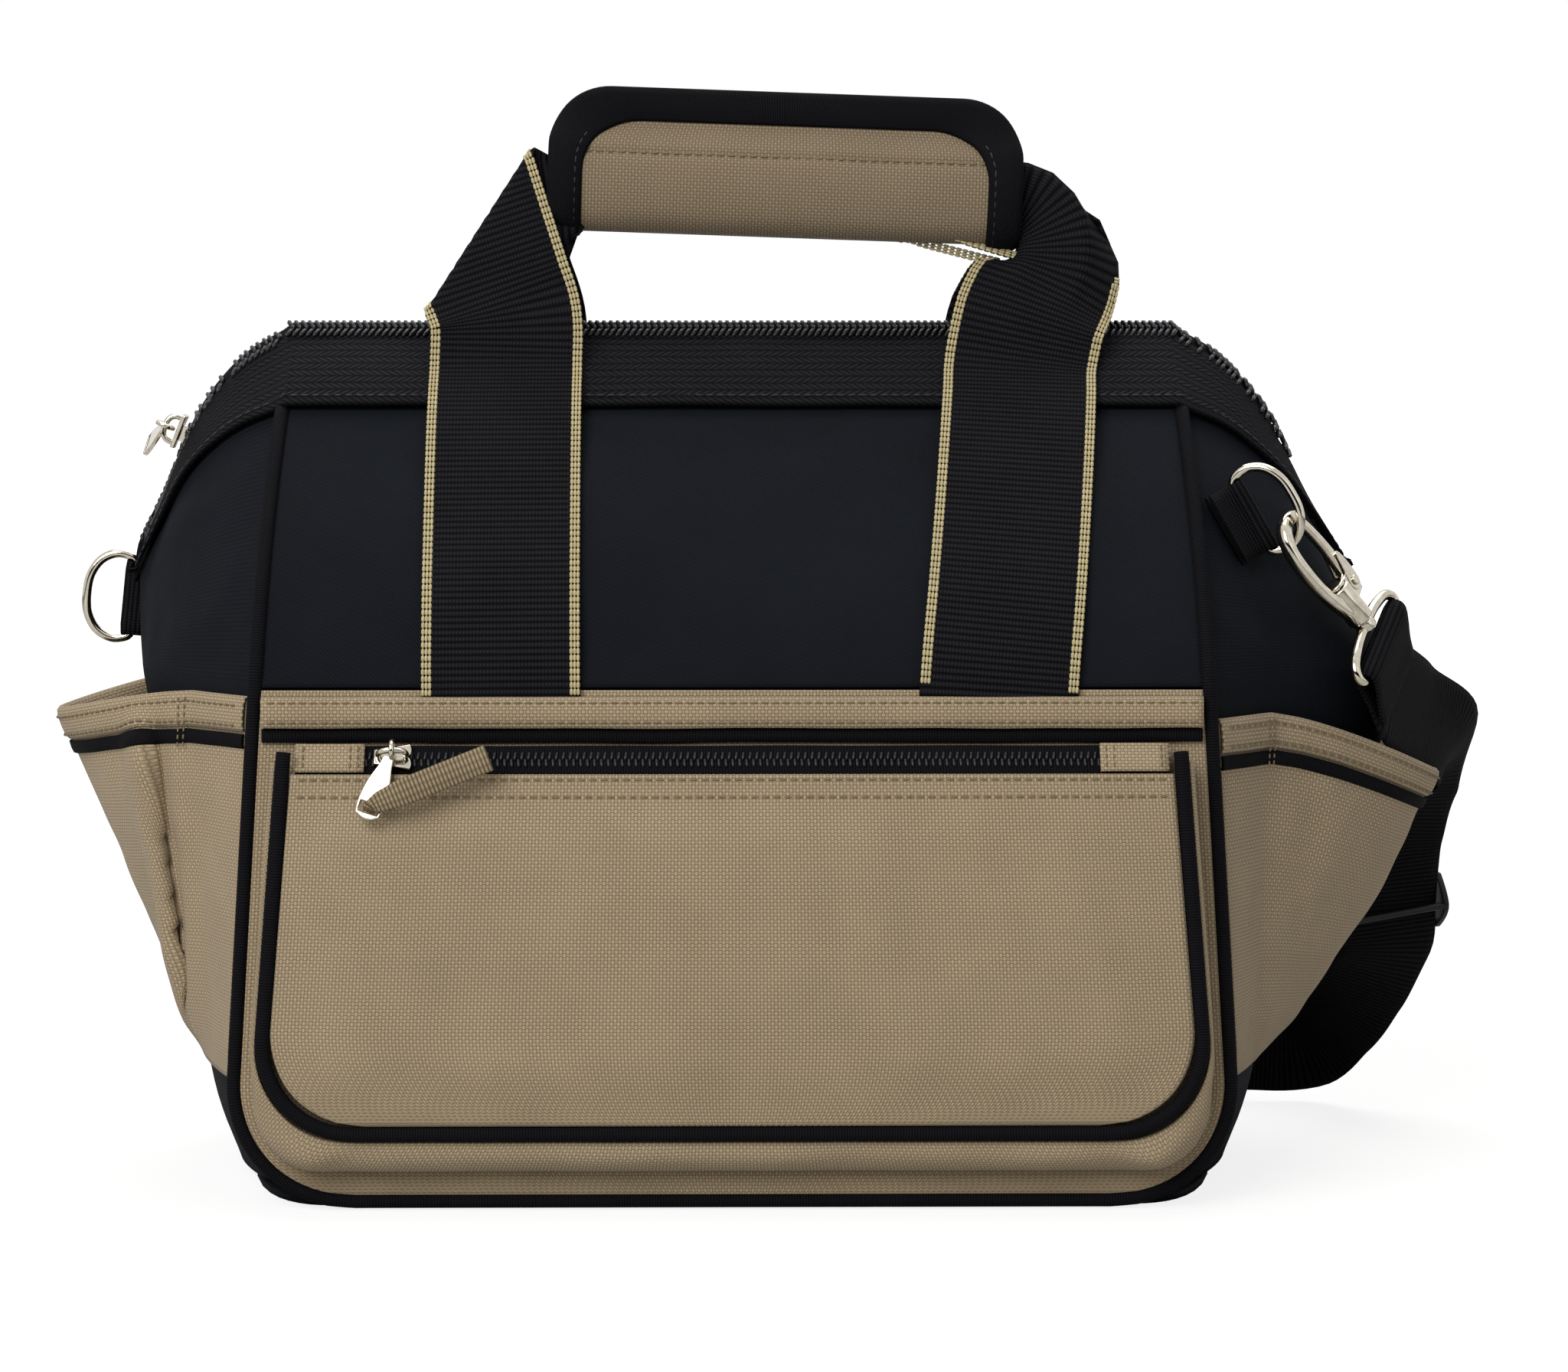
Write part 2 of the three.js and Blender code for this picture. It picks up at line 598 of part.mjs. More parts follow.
const gripEdge = { width: 9, thickness: 1.1, radius: 20 };
for (const [name, front] of [["front", -1], ["back", 1]]) {
  const half = toSolid(gripLayer(front, -grip.wall, 0)).intersect(toSolid(gripTrim(1.2, gripEdge.radius)));
  add(`grip_${name}_wrap`, toGeometry(half), fabric(tan), gripGroup);
  const strip = toSolid(gripLayer(front, gap, gap + gripEdge.thickness));
  const ring = strip.intersect(toSolid(gripTrim(0, gripEdge.radius)));
  const edge = ring.subtract(toSolid(gripTrim(gripEdge.width, gripEdge.radius - gripEdge.width + 2)));
  add(`grip_${name}_binding`, toGeometry(edge), fabric(blackWebbing), gripGroup);
}

const tape = { length: 118, height: 10, thickness: 1.9, middleZ: 14.5, offset: 1.25 };
for (const [name, front] of [["grip_hook_tape", -1], ["grip_loop_tape", 1]]) {
  const strip = new THREE.BoxGeometry(tape.length, tape.thickness, tape.height);
  add(name, strip.translate(0, front * tape.offset, tape.middleZ), fabric(black), gripGroup);
}

// Rings and hooks

// A group whose x and y axes follow two given directions.
function frameAt(origin, xDirection, yDirection) {
  const x = xDirection.clone().normalize();
  const z = x.clone().cross(yDirection).normalize();
  const frame = new THREE.Group();
  frame.applyMatrix4(new THREE.Matrix4().makeBasis(x, z.clone().cross(x), z).setPosition(origin));
  bag.add(frame);
  return frame;
}

// A D-ring in its own plane: the bar lies along x and the bow reaches out along y.
function ringWire() {
  const { halfBar, depth, wire } = ring;
  const bow = [[0.42, 0], [0.9, 0], [1, 0.17], [1.02, 0.42], [0.84, 0.74], [0.46, 0.95]];
  const half = bow.map(([x, y]) => V(x * halfBar, y * depth, 0));
  const other = half.toReversed().map((point) => V(-point.x, point.y, 0));
  const curve = new THREE.CatmullRomCurve3([V(0, 0, 0), ...half, V(0, depth, 0), ...other], true);
  return new THREE.TubeGeometry(curve, 28, wire, 6, true);
}

// The webbing that holds a ring: sewn flat along -y and turned round the bar, which runs along x.
function ringTab(lift) {
  const fold = ring.wire + gap + ring.tabThickness;
  const outline = new THREE.Shape();
  outline.moveTo(-ring.tabTail, ring.tabSeat);
  outline.lineTo(fold, ring.tabSeat);
  outline.lineTo(fold, lift);
  outline.absarc(0, lift, fold, 0, Math.PI);
  outline.lineTo(-2 * fold, ring.tabSeat + 2 * ring.tabThickness);
  outline.lineTo(-ring.tabTail, ring.tabSeat + 2 * ring.tabThickness);
  const eye = new THREE.Path();
  eye.absarc(0, lift, ring.wire + 2 * gap, 0, 2 * Math.PI);
  outline.holes.push(eye);
  const turn = new THREE.Matrix4().makeBasis(V(0, 1, 0), V(0, 0, 1), V(1, 0, 0));
  return plate(outline, ring.tabWidth, 5).applyMatrix4(turn);
}

// Sews a ring to an end panel: place on the panel, the bar's direction and height off the panel,
// and the angle between bow and panel at rest.
function sewRing(name, side, u, share, bar, lift, lifted) {
  const surface = (a, b) => endHigh(side, a, b);
  const normal = outward(surface, u, share);
  const foot = surface(u, share);
  const along = bar.clone().addScaledVector(normal, -bar.dot(normal)).normalize();
  const flat = normal.clone().cross(along);
  add(`${name}_dring_tab`, ringTab(lift), fabric(blackWebbing), frameAt(foot, along, flat));
  const origin = foot.clone().addScaledVector(normal, lift);
  const reach = flat.multiplyScalar(Math.cos(lifted)).addScaledVector(normal, Math.sin(lifted));
  add(`${name}_dring`, ringWire(), metal(nickel), frameAt(origin, along, reach));
  return { origin, along, reach };
}

sewRing("left", -1, 0.14, 0.43, V(0, 0, -1), 7.5, 1.25);
const rightRing = sewRing("right", 1, -0.8, 0.5, V(0.41, -0.03, -0.86), 3.8, 1.25);

// Snap hook in its own plane: swivel at the origin, loop up along y, gate on the +x side.
function turned(profile, sides) {
  return new THREE.LatheGeometry(profile.map(([r, y]) => new THREE.Vector2(r, y)), sides);
}

function roundBar(radius, fromY, toY, sides) {
  return turned([[0, fromY], [radius, fromY], [radius, toY], [0, toY]], sides);
}

function block(lowX, highX, lowY, highY, lowZ, highZ) {
  const body = new THREE.BoxGeometry(highX - lowX, highY - lowY, highZ - lowZ);
  return body.translate((lowX + highX) / 2, (lowY + highY) / 2, (lowZ + highZ) / 2);
}

function pivotHole() {
  const hole = roundBar(hook.rivet + 0.25, -6, 6, 12);
  return hole.rotateX(Math.PI / 2).translate(hook.pivotX, hook.pivotY, 0);
}

function hookBody() {
  const outline = new THREE.Shape();
  outline.moveTo(-5.5, 0);
  outline.lineTo(10.8, 0);
  outline.quadraticCurveTo(12.6, 5, 10.6, 9.2);
  outline.quadraticCurveTo(7, 10.2, 3.5, 9.6);
  outline.lineTo(-4.3, 9.6);
  outline.bezierCurveTo(-6.8, 14, -7.2, 22, -6.4, 29);
  outline.bezierCurveTo(-5.6, 34.5, -2, 36.6, 1.2, 36.5);
  outline.quadraticCurveTo(4, 36.3, 5.2, 34.6);
  outline.lineTo(9.6, 34.6);
  outline.bezierCurveTo(9, 38.6, 5, 41.2, 1, 41.2);
  outline.bezierCurveTo(-6, 41.2, -10.4, 36, -10.8, 28);
  outline.bezierCurveTo(-11.4, 19, -9.8, 9, -5.5, 0);
  const half = hook.lug / 2;
  const bossed = join(plate(outline, hook.thickness, 6), roundBar(4.4, -5, 9.6, 14));
  const cheekRoom = [block(4.9, 14, 0.8, 12, half, 8), block(4.9, 14, 0.8, 12, -8, -half)];
  return cut(bossed, roundBar(hook.post + 0.3, -8, 12, 14), pivotHole(), ...cheekRoom);
}

function hookGate() {
  const outline = new THREE.Shape();
  const root = 3;
  outline.absarc(hook.pivotX, hook.pivotY, root, Math.PI, 2 * Math.PI);
  outline.bezierCurveTo(12.2, 14, 12.2, 25, 9.5, 34.2);
  outline.lineTo(5.8, 34.2);
  outline.bezierCurveTo(8.8, 25, 8.9, 14, hook.pivotX - root, hook.pivotY);
  const room = hook.lug / 2 + 0.3;
  return cut(plate(outline, hook.thickness, 6), block(3, 14, 0, 12.4, -room, room), pivotHole());
}

function hookRivet() {
  const top = hook.thickness / 2 + 1;
  const under = hook.thickness / 2 + 0.3;
  const head = 2;
  const half = [[hook.rivet, under], [head, under], [head, top - 0.2], [head - 0.6, top], [0, top]];
  const profile = [...half.toReversed().map(([r, y]) => [r, -y]), ...half];
  return turned(profile, 10).rotateX(Math.PI / 2).translate(hook.pivotX, hook.pivotY, 0);
}

const eyeBarY = -16.6;
function hookEye(turnAngle) {
  const half = hook.eyeHalf;
  const arm = [[0.5, -8], [0.92, -10.6], [1.01, -13.8], [0.9, eyeBarY]].map(([x, y]) => V(x * half, y, 0));
  const other = arm.toReversed().map((point) => V(-point.x, point.y, 0));
  const curve = new THREE.CatmullRomCurve3([V(0, -7.5, 0), ...arm, V(0, eyeBarY, 0), ...other], true);
  const wire = new THREE.TubeGeometry(curve, 30, hook.eyeWire, 6, true);
  const collar = [[0, -9], [3.6, -9], [3.6, -5.4], [hook.post, -5.4]];
  const head = [[hook.post, 10], [3.8, 10], [3.8, 11.4], [0, 11.4]];
  const post = turned([...collar, ...head], 14);
  return join(wire, post).rotateY(turnAngle);
}

function snapHook(name, frame, eyeTurn) {
  add(name, hookBody(), metal(nickel), frame);
  add(`${name}_gate`, hookGate(), metal(nickel), frame);
  add(`${name}_rivet`, hookRivet(), metal(nickel), frame);
  add(`${name}_eye`, hookEye(eyeTurn), metal(nickel), frame);
}

// The clipped hook hangs on the lower corner of the right ring and lies down along the end.
const hookAway = V(0.62, 0.3, -0.73).normalize();
const hookUp = hookAway.clone().negate();
const hookSide = hookUp.clone().cross(V(0.75, -0.55, 0.36)).normalize();
const hookFacing = hookSide.clone().cross(hookUp);
const wireSeat = { along: 0.95, reach: 0.6, down: 32.6 };
const ringCorner = rightRing.origin.clone().addScaledVector(rightRing.along, ring.halfBar * wireSeat.along);
ringCorner.addScaledVector(rightRing.reach, ring.depth * wireSeat.reach);
const hookOrigin = ringCorner.clone().addScaledVector(hookAway, wireSeat.down);
const strapAcross = V(0.2, 0.62, 0.76);
strapAcross.addScaledVector(hookAway, -strapAcross.dot(hookAway)).normalize();
const eyeTurn = Math.atan2(-strapAcross.dot(hookFacing), strapAcross.dot(hookSide));
snapHook("snap_hook", frameAt(hookOrigin, hookSide, hookUp), eyeTurn);
const nearBar = hookOrigin.clone().addScaledVector(hookAway, -eyeBarY);

// The free hook lies behind the bag at the other end of the strap.
const farBar = V(-80, 138, 23);
const farUp = V(-1, 0, 0);
const farOrigin = farBar.clone().addScaledVector(farUp, -eyeBarY);
snapHook("far_hook", frameAt(farOrigin, V(0, 0, 1), farUp), 0);

// Shoulder strap: from the clipped hook's eye down outside the right pocket, folded in runs behind the bag

// Stations round an eye's bar with a short sewn return, ending on the side that the strap leaves from.
function barLoop(bar, away, across) {
  const lift = across.clone().cross(away);
  const hold = hook.eyeWire + gap + strap.thickness / 2 + 0.1;
  const ply = strap.thickness / 2 + 0.45;
  const sewnBack = 20;
  const side = [[sewnBack, ply], [14, ply + 0.2], [5, hold - 0.4], [0, hold]];
  const round = [[-0.71, 0.71], [-1, 0], [-0.71, -0.71]].map(([a, b]) => [a * hold, b * hold]);
  const under = side.map(([a, b]) => [a, b]);
  const over = side.toReversed().map(([a, b]) => [a, -b]);
  return [...under, ...round, ...over].map(([a, b]) => {
    return [bar.clone().addScaledVector(away, a).addScaledVector(lift, b), across, strap.width - 1];
  });
}

const strapAway = V(0.46, 0.81, -0.36);
strapAway.addScaledVector(strapAcross, -strapAway.dot(strapAcross)).normalize();
const drop = [
  [V(236.5, -6, 162), V(0.42, 0.74, 0.52)],
  [V(251, 25, 142), V(0.65, 0.74, 0.19)],
  [V(240.4, 37, 120), V(0.85, 0.5, 0.15)],
  [V(233.7, 45.7, 102.5), V(0.93, 0.33, 0.13)],
  [V(232.3, 51.4, 88.6), V(0.94, 0.3, 0.12)],
  [V(232, 54.5, 76), V(0.94, 0.3, 0.12)],
  [V(231.6, 58.1, 61.5), V(0.94, 0.3, 0.12)],
  [V(222.5, 69, 45), V(0.85, 0.3, -0.43)],
  [V(214.8, 86.2, 32.4), V(0.62, 0.2, -0.76)],
  [V(208, 101, 23.1), V(0.3, 0.05, -0.95)],
  [V(188, 104.5, 22.6), V(0.05, 0, -1)],
];
const hank = { firstY: 106, spacing: 16, leftX: -118, rightX: 108, lowZ: 22.5 };

// A half turn of the hank: its middle, and the side that it bulges to.
function hankTurn(x, y, side) {
  const radius = hank.spacing / 2;
  return spread(-Math.PI / 2, Math.PI / 2, 5).map((a) => {
    return V(x + side * radius * Math.cos(a), y + radius * Math.sin(a), hank.lowZ);
  });
}

const [run1, run2, run3] = [0, 1, 2].map((i) => hank.firstY + i * hank.spacing);
const hankRoute = [
  ...[160, 70, -30].map((x) => V(x, run1, hank.lowZ)),
  ...hankTurn(hank.leftX, run1 + hank.spacing / 2, -1),
  ...[-40, 40].map((x) => V(x, run2, hank.lowZ)),
  ...hankTurn(hank.rightX, run2 + hank.spacing / 2, 1),
  ...[60, 0].map((x) => V(x, run3, hank.lowZ)),
].map((point) => [point, V(0, 0, -1)]);
const farAway = farUp.clone().negate();
const strapStations = [
  ...barLoop(nearBar, strapAway, strapAcross.clone().negate()),
  ...[...drop, ...hankRoute].map(([point, across]) => [point, across.negate().normalize(), strap.width]),
  ...barLoop(farBar, farAway, V(0, 0, 1)).toReversed(),
];
add("shoulder_strap", webbing(strapStations, strap.thickness, 92), fabric(blackWebbing));

// Strap adjuster: the webbing runs over two end bars and under the middle one
const adjuster = { bar: 1.2, reach: 9, rail: 2.2, clear: 1.2 };
function strapAdjuster() {
  const { bar, reach, rail, clear } = adjuster;
  const half = strap.width / 2 + clear + rail;
  const offset = strap.thickness / 2 + clear + bar;
  const across = (y, z) => {
    return roundBar(bar, -half + 0.5, half - 0.5, 10).rotateZ(Math.PI / 2).translate(0, y, z);
  };
  const tall = offset + bar;
  const rails = [-1, 1].map((side) => {
    const outline = new THREE.Shape();
    outline.moveTo(-reach - bar, -tall);
    outline.lineTo(reach + bar, -tall);
    outline.lineTo(reach + bar, -offset + bar);
    outline.quadraticCurveTo(reach * 0.4, tall, 0, tall);
    outline.quadraticCurveTo(-reach * 0.4, tall, -reach - bar, -offset + bar);
    const turn = new THREE.Matrix4().makeBasis(V(0, 1, 0), V(0, 0, 1), V(1, 0, 0));
    return plate(outline, rail, 4).applyMatrix4(turn).translate(side * (half - rail / 2), 0, 0);
  });
  return join(rails[0], rails[1], across(-reach, -offset), across(reach, -offset), across(0, offset));
}

const adjusterSeat = { at: drop[5][0], before: drop[4][0], after: drop[6][0], across: drop[5][1] };
const adjusterAlong = adjusterSeat.after.clone().sub(adjusterSeat.before);
const adjusterFrame = frameAt(adjusterSeat.at, adjusterSeat.across, adjusterAlong);
add("strap_adjuster", strapAdjuster(), moulded(plastic), adjusterFrame);

// Zip sliders and their pulls

const slider = { half: 6, plate: 1.5, arch: 5.5, wire: 0.95, pullWire: 0.8, pullEye: 2.7, pullLength: 24 };

function sliderBody() {
  const outline = new THREE.Shape();
  outline.moveTo(-slider.half, -2.6);
  outline.lineTo(-1, -3.2);
  outline.lineTo(slider.half - 0.6, -4.6);
  outline.quadraticCurveTo(slider.half + 0.8, -2, slider.half - 1, 0);
  outline.quadraticCurveTo(slider.half + 0.8, 2, slider.half - 0.6, 4.6);
  outline.lineTo(-1, 3.2);
  outline.lineTo(-slider.half, 2.6);
  const { arch: high, plate: low } = slider;
  const bow = [V(-4.4, 0, low / 2), V(-4.2, 0, high * 0.7), V(-2.6, 0, high), V(2.6, 0, high)];
  const curve = new THREE.CatmullRomCurve3([...bow, V(4.2, 0, high * 0.7), V(4.4, 0, low / 2)]);
  return join(plate(outline, low, 4).translate(0, 0, low / 2), rod(curve, slider.wire, 6, 10));
}

// A pull that hangs along -y from an eye round the slider's bow, whose direction is given.
function sliderPull(bowDirection) {
  const low = -slider.pullLength;
  const outline = new THREE.Shape();
  outline.moveTo(-1.7, -2.2);
  outline.lineTo(1.7, -2.2);
  outline.bezierCurveTo(2, -8, 4.3, -9, 4.4, low + 5);
  outline.bezierCurveTo(4.4, low + 1.4, 2.6, low, 0, low);
  outline.bezierCurveTo(-2.6, low, -4.4, low + 1.4, -4.4, low + 5);
  outline.bezierCurveTo(-4.3, -9, -2, -8, -1.7, -2.2);
  const slot = new THREE.Path();
  slot.moveTo(-3.3, low + 2);
  slot.lineTo(3.3, low + 2);
  slot.lineTo(3.3, low + 5.4);
  slot.lineTo(-3.3, low + 5.4);
  outline.holes.push(slot);
  const eye = new THREE.TorusGeometry(slider.pullEye, slider.pullWire, 6, 14);
  const turn = new THREE.Quaternion().setFromUnitVectors(V(0, 0, 1), bowDirection.clone().normalize());
  return join(plate(outline, 1.4, 5), eye.applyQuaternion(turn));
}

// Puts a slider on a zip: where its sole lies, the zip's direction, the direction across it,
// and the way the pull hangs.
function fitSlider(name, sole, run, across, hang) {
  const frame = frameAt(sole, run, across);
  const facing = run.clone().cross(across).normalize();
  add(name, sliderBody(), metal(nickel), frame);
  const pivot = sole.clone().addScaledVector(facing, slider.arch + 0.3);
  const up = hang.clone().negate().normalize();
  const side = run.clone().addScaledVector(up, -run.dot(up)).normalize();
  const pullFrame = frameAt(pivot, side, up);
  const bow = V(run.dot(side), run.dot(up), 0);
  add(`${name}_pull`, sliderPull(bow), metal(nickel), pullFrame);
  return { pivot, up, front: side.clone().cross(up) };
}

const soleLift = pocketZipThickness / 2 + gap;
const pocketSole = zipMiddle.clone().addScaledVector(zipFacing, soleLift).setX(-108);
const pocketPull = fitSlider("pocket_slider", pocketSole, V(1, 0, 0), zipAcross, V(-0.33, -0.34, -0.88));

// The pull's webbing tab comes through the slot and lies across the pocket face.
const slotMiddle = pocketPull.pivot.clone().addScaledVector(pocketPull.up, 3.7 - slider.pullLength);
const tabRun = V(0.92, 0.02, 0.38).normalize();
const tabAcross = V(0.38, 0, -0.92);
const slotAcross = V(0.93, 0, -0.36);
const fromSlot = (out, run) => {
  return slotMiddle.clone().addScaledVector(pocketPull.front, out).addScaledVector(tabRun, run);
};
const tabStations = [
  [fromSlot(-1.6, -0.3), slotAcross, 4.2],
  [fromSlot(0, 0), slotAcross, 4.2],
  [fromSlot(1.9, 0.6), slotAcross, 4.6],
  [fromSlot(2.6, 5), V(0.75, 0, -0.66), 7],
  [fromSlot(2.6, 12), tabAcross, 8.6],
  [fromSlot(1.6, 40), tabAcross, 8.6],
];
add("pocket_pull_tab", webbing(tabStations, 1.1, 14), fabric(tan));

const topAt = 0.088;
const topRun = ridge.getTangentAt(topAt);
const topFacing = topRun.clone().cross(V(0, 1, 0)).normalize();
const topLift = zip.lift + zip.thickness / 2 + 1.2;
const topSole = ridge.getPointAt(topAt).addScaledVector(topFacing, topLift);
fitSlider("top_slider", topSole, topRun, V(0, 1, 0), V(-0.38, 0.86, -0.33));

export default bag;
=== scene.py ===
import bpy
import math
from mathutils import Matrix, Vector, noise


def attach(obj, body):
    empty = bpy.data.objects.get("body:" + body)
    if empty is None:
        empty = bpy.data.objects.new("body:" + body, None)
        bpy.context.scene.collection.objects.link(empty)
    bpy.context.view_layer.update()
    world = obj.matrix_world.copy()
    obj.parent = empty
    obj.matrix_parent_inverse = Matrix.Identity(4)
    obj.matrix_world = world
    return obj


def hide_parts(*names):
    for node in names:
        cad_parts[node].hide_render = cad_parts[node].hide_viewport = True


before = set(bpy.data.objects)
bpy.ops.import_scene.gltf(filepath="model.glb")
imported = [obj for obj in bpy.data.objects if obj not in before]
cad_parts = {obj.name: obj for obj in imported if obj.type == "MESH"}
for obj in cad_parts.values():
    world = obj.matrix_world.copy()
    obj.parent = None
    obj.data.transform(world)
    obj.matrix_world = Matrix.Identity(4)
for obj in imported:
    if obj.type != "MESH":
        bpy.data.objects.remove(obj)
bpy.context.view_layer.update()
scene = bpy.context.scene
bpy.ops.object.select_all(action="DESELECT")
print("frame loaded:", len(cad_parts), "nodes")

mm = 0.001  # sizes are written in millimetres and stored in metres; +Z is up and the front faces -Y


# camera at the photograph's distance, level with the mouth
cameraSet = {"place": (0, -1.545, 0.29), "lens": 104.5, "pitchDown": 4.77, "turnRight": 0.65}
bpy.ops.object.camera_add(location=cameraSet["place"])
camera = bpy.context.object
camera.rotation_euler = (math.radians(90 - cameraSet["pitchDown"]), 0, -math.radians(cameraSet["turnRight"]))
camera.data.lens = cameraSet["lens"]
camera.data.sensor_width = 36
camera.data.clip_end = 50
scene.camera = camera
scene.view_settings.view_transform = "Standard"


def linear(hexText):
    parts = [int(hexText[i:i + 2], 16) / 255 for i in (1, 3, 5)]
    return [c / 12.92 if c <= 0.04045 else ((c + 0.055) / 1.055) ** 2.4 for c in parts] + [1]


# an input takes a value, a socket to link, or a node, which stands for its first output
def addNode(tree, kind, inputs=None, **settings):
    node = tree.nodes.new("ShaderNode" + kind)
    for key, value in settings.items():
        setattr(node, key, value)
    for key, value in (inputs or {}).items():
        if isinstance(value, bpy.types.Node):
            value = value.outputs[0]
        if isinstance(value, bpy.types.NodeSocket):
            tree.links.new(value, node.inputs[key])
        else:
            node.inputs[key].default_value = value
    return node


# each lamp's place, size and power; all of them look at the middle of the bag
studio = {
    "key": ((-1.0, -1.8, 1.5), 1.5, 54),
    "fill": ((1.7, -1.4, 0.9), 1.6, 3),
    "top": ((0.1, 0.5, 1.9), 1.8, 26),
}
ambient = 0.25
for lampName, (place, size, power) in studio.items():
    bpy.ops.object.light_add(type="AREA", location=place)
    lamp = bpy.context.object
    lamp.name = lampName
    lamp.data.size = size
    lamp.data.energy = power
    lamp.rotation_euler = (Vector((0, 0, 0.15)) - Vector(place)).to_track_quat("-Z", "Y").to_euler()

# the world is white to the camera and to reflections, and soft as a light
world = bpy.data.worlds.new("studio")
scene.world = world
world.use_nodes = True
tree = world.node_tree
tree.nodes.clear()
rays = addNode(tree, "LightPath").outputs
seen = addNode(tree, "Math", {0: rays["Is Camera Ray"], 1: rays["Is Glossy Ray"]}, operation="ADD")
seen = addNode(tree, "Math", {0: seen, 1: rays["Is Transmission Ray"]}, operation="ADD", use_clamp=True)
soft = addNode(tree, "Background", {"Color": linear("#ffffff"), "Strength": ambient})
white = addNode(tree, "Background", {"Color": linear("#ffffff"), "Strength": 1})
both = addNode(tree, "MixShader", {0: seen, 1: soft, 2: white})
addNode(tree, "OutputWorld", {"Surface": both})

# floor paper: keeps the shadow near the bag and fades to white farther out, in metres from the middle
floorSet = {"fadeFrom": 0.7, "fadeTo": 2.2, "glowNear": 0.7, "glow": 1.2, "drop": 0.0006}
bpy.ops.mesh.primitive_plane_add(size=20, location=(0, 0, -floorSet["drop"]))
floor = bpy.context.object
floor.name = "floor"
floorPaper = bpy.data.materials.new("pale studio floor paper")
floorPaper.use_nodes = True
tree = floorPaper.node_tree
tree.nodes.clear()
rays = addNode(tree, "LightPath").outputs
coord = addNode(tree, "TexCoord").outputs
away = addNode(tree, "VectorMath", {0: coord["Object"]}, operation="LENGTH").outputs["Value"]
fade = addNode(tree, "MapRange", {0: away, 1: floorSet["fadeFrom"], 2: floorSet["fadeTo"],
                                  3: floorSet["glowNear"], 4: 1.0})
paper = addNode(tree, "BsdfDiffuse", {"Color": linear("#d2d2d0")})
glow = addNode(tree, "Emission", {"Color": linear("#ffffff"), "Strength": floorSet["glow"]})
share = addNode(tree, "Math", {0: rays["Is Camera Ray"], 1: fade}, operation="MULTIPLY")
mixed = addNode(tree, "MixShader", {0: share, 1: paper, 2: glow})
addNode(tree, "OutputMaterial", {"Surface": mixed})
floor.data.materials.append(floorPaper)

# black cloth behind the camera: only reflections see it, so the plated parts get their dark bands
bpy.ops.mesh.primitive_plane_add(size=1, location=(0, -2.6, 0.2), rotation=(math.radians(90), 0, 0))
flag = bpy.context.object
flag.name = "black_flag"
flag.scale = (6, 1.8, 1)
flagCloth = bpy.data.materials.new("black duvetyne, napped")
flagCloth.use_nodes = True
flagCloth.node_tree.nodes.clear()
nap = addNode(flagCloth.node_tree, "BsdfDiffuse", {"Color": linear("#0a0a0a")})
addNode(flagCloth.node_tree, "OutputMaterial", {"Surface": nap})
flag.data.materials.append(flagCloth)
for ray in ("visible_camera", "visible_diffuse", "visible_shadow", "visible_transmission", "visible_volume_scatter"):
    setattr(flag, ray, False)
print("camera, light and floor set")


# materials, each from a real cloth or metal; UV and Object coordinates are in metres
def startMaterial(name, finish):
    material = bpy.data.materials.new(name)
    material.use_nodes = True
    tree = material.node_tree
    tree.nodes.clear()
    shader = addNode(tree, "BsdfPrincipled", finish)
    addNode(tree, "OutputMaterial", {"Surface": shader})
    return material, tree, shader


# UV in metres divided by a yarn pitch in millimetres: across the cloth and along it
def uvParts(tree, pitchAcross, pitchAlong):
    coord = addNode(tree, "TexCoord").outputs
    scale = (1 / (pitchAcross * mm), 1 / (pitchAlong * mm), 1)
    scaled = addNode(tree, "Mapping", {"Vector": coord["UV"], "Scale": scale})
    split = addNode(tree, "SeparateXYZ", {0: scaled}).outputs
    return scaled, split[0], split[1]


# rounded back of a yarn, 0 between yarns and 1 on top
def yarnBack(tree, place):
    turned = addNode(tree, "Math", {0: place, 1: math.pi}, operation="MULTIPLY")
    wave = addNode(tree, "Math", {0: turned}, operation="SINE")
    return addNode(tree, "Math", {0: wave}, operation="ABSOLUTE")


# a height that keeps a base and adds the rest times another height
def shareOf(tree, height, base, rest):
    scaled = addNode(tree, "Math", {0: height, 1: rest}, operation="MULTIPLY")
    return addNode(tree, "Math", {0: base, 1: scaled}, operation="ADD")


# colour follows the weave's height and a slow cloudiness of tone; on the twill the clouds are broad and strong, painted
# sheen and shade standing for its soft dents; bump lifts the yarns by depth in mm
def finishCloth(tree, shader, height, low, high, depth, mottleAndSheen=0.25, cloudScale=45):
    coord = addNode(tree, "TexCoord").outputs
    cloud = addNode(tree, "TexNoise", {"Vector": coord["Object"], "Scale": cloudScale, "Detail": 5.0, "Roughness": 0.6})
    tone = addNode(tree, "Math", {0: cloud.outputs["Fac"], 1: mottleAndSheen, 2: -mottleAndSheen / 2}, operation="MULTIPLY_ADD")
    shade = addNode(tree, "Math", {0: height, 1: tone}, operation="ADD")
    ramp = addNode(tree, "ValToRGB", {"Fac": shade})
    ramp.color_ramp.elements[0].color = linear(low)
    ramp.color_ramp.elements[1].color = linear(high)
    bump = addNode(tree, "Bump", {"Height": height, "Strength": 0.9, "Distance": depth * mm})
    tree.links.new(ramp.outputs[0], shader.inputs["Base Color"])
    tree.links.new(bump.outputs[0], shader.inputs["Normal"])


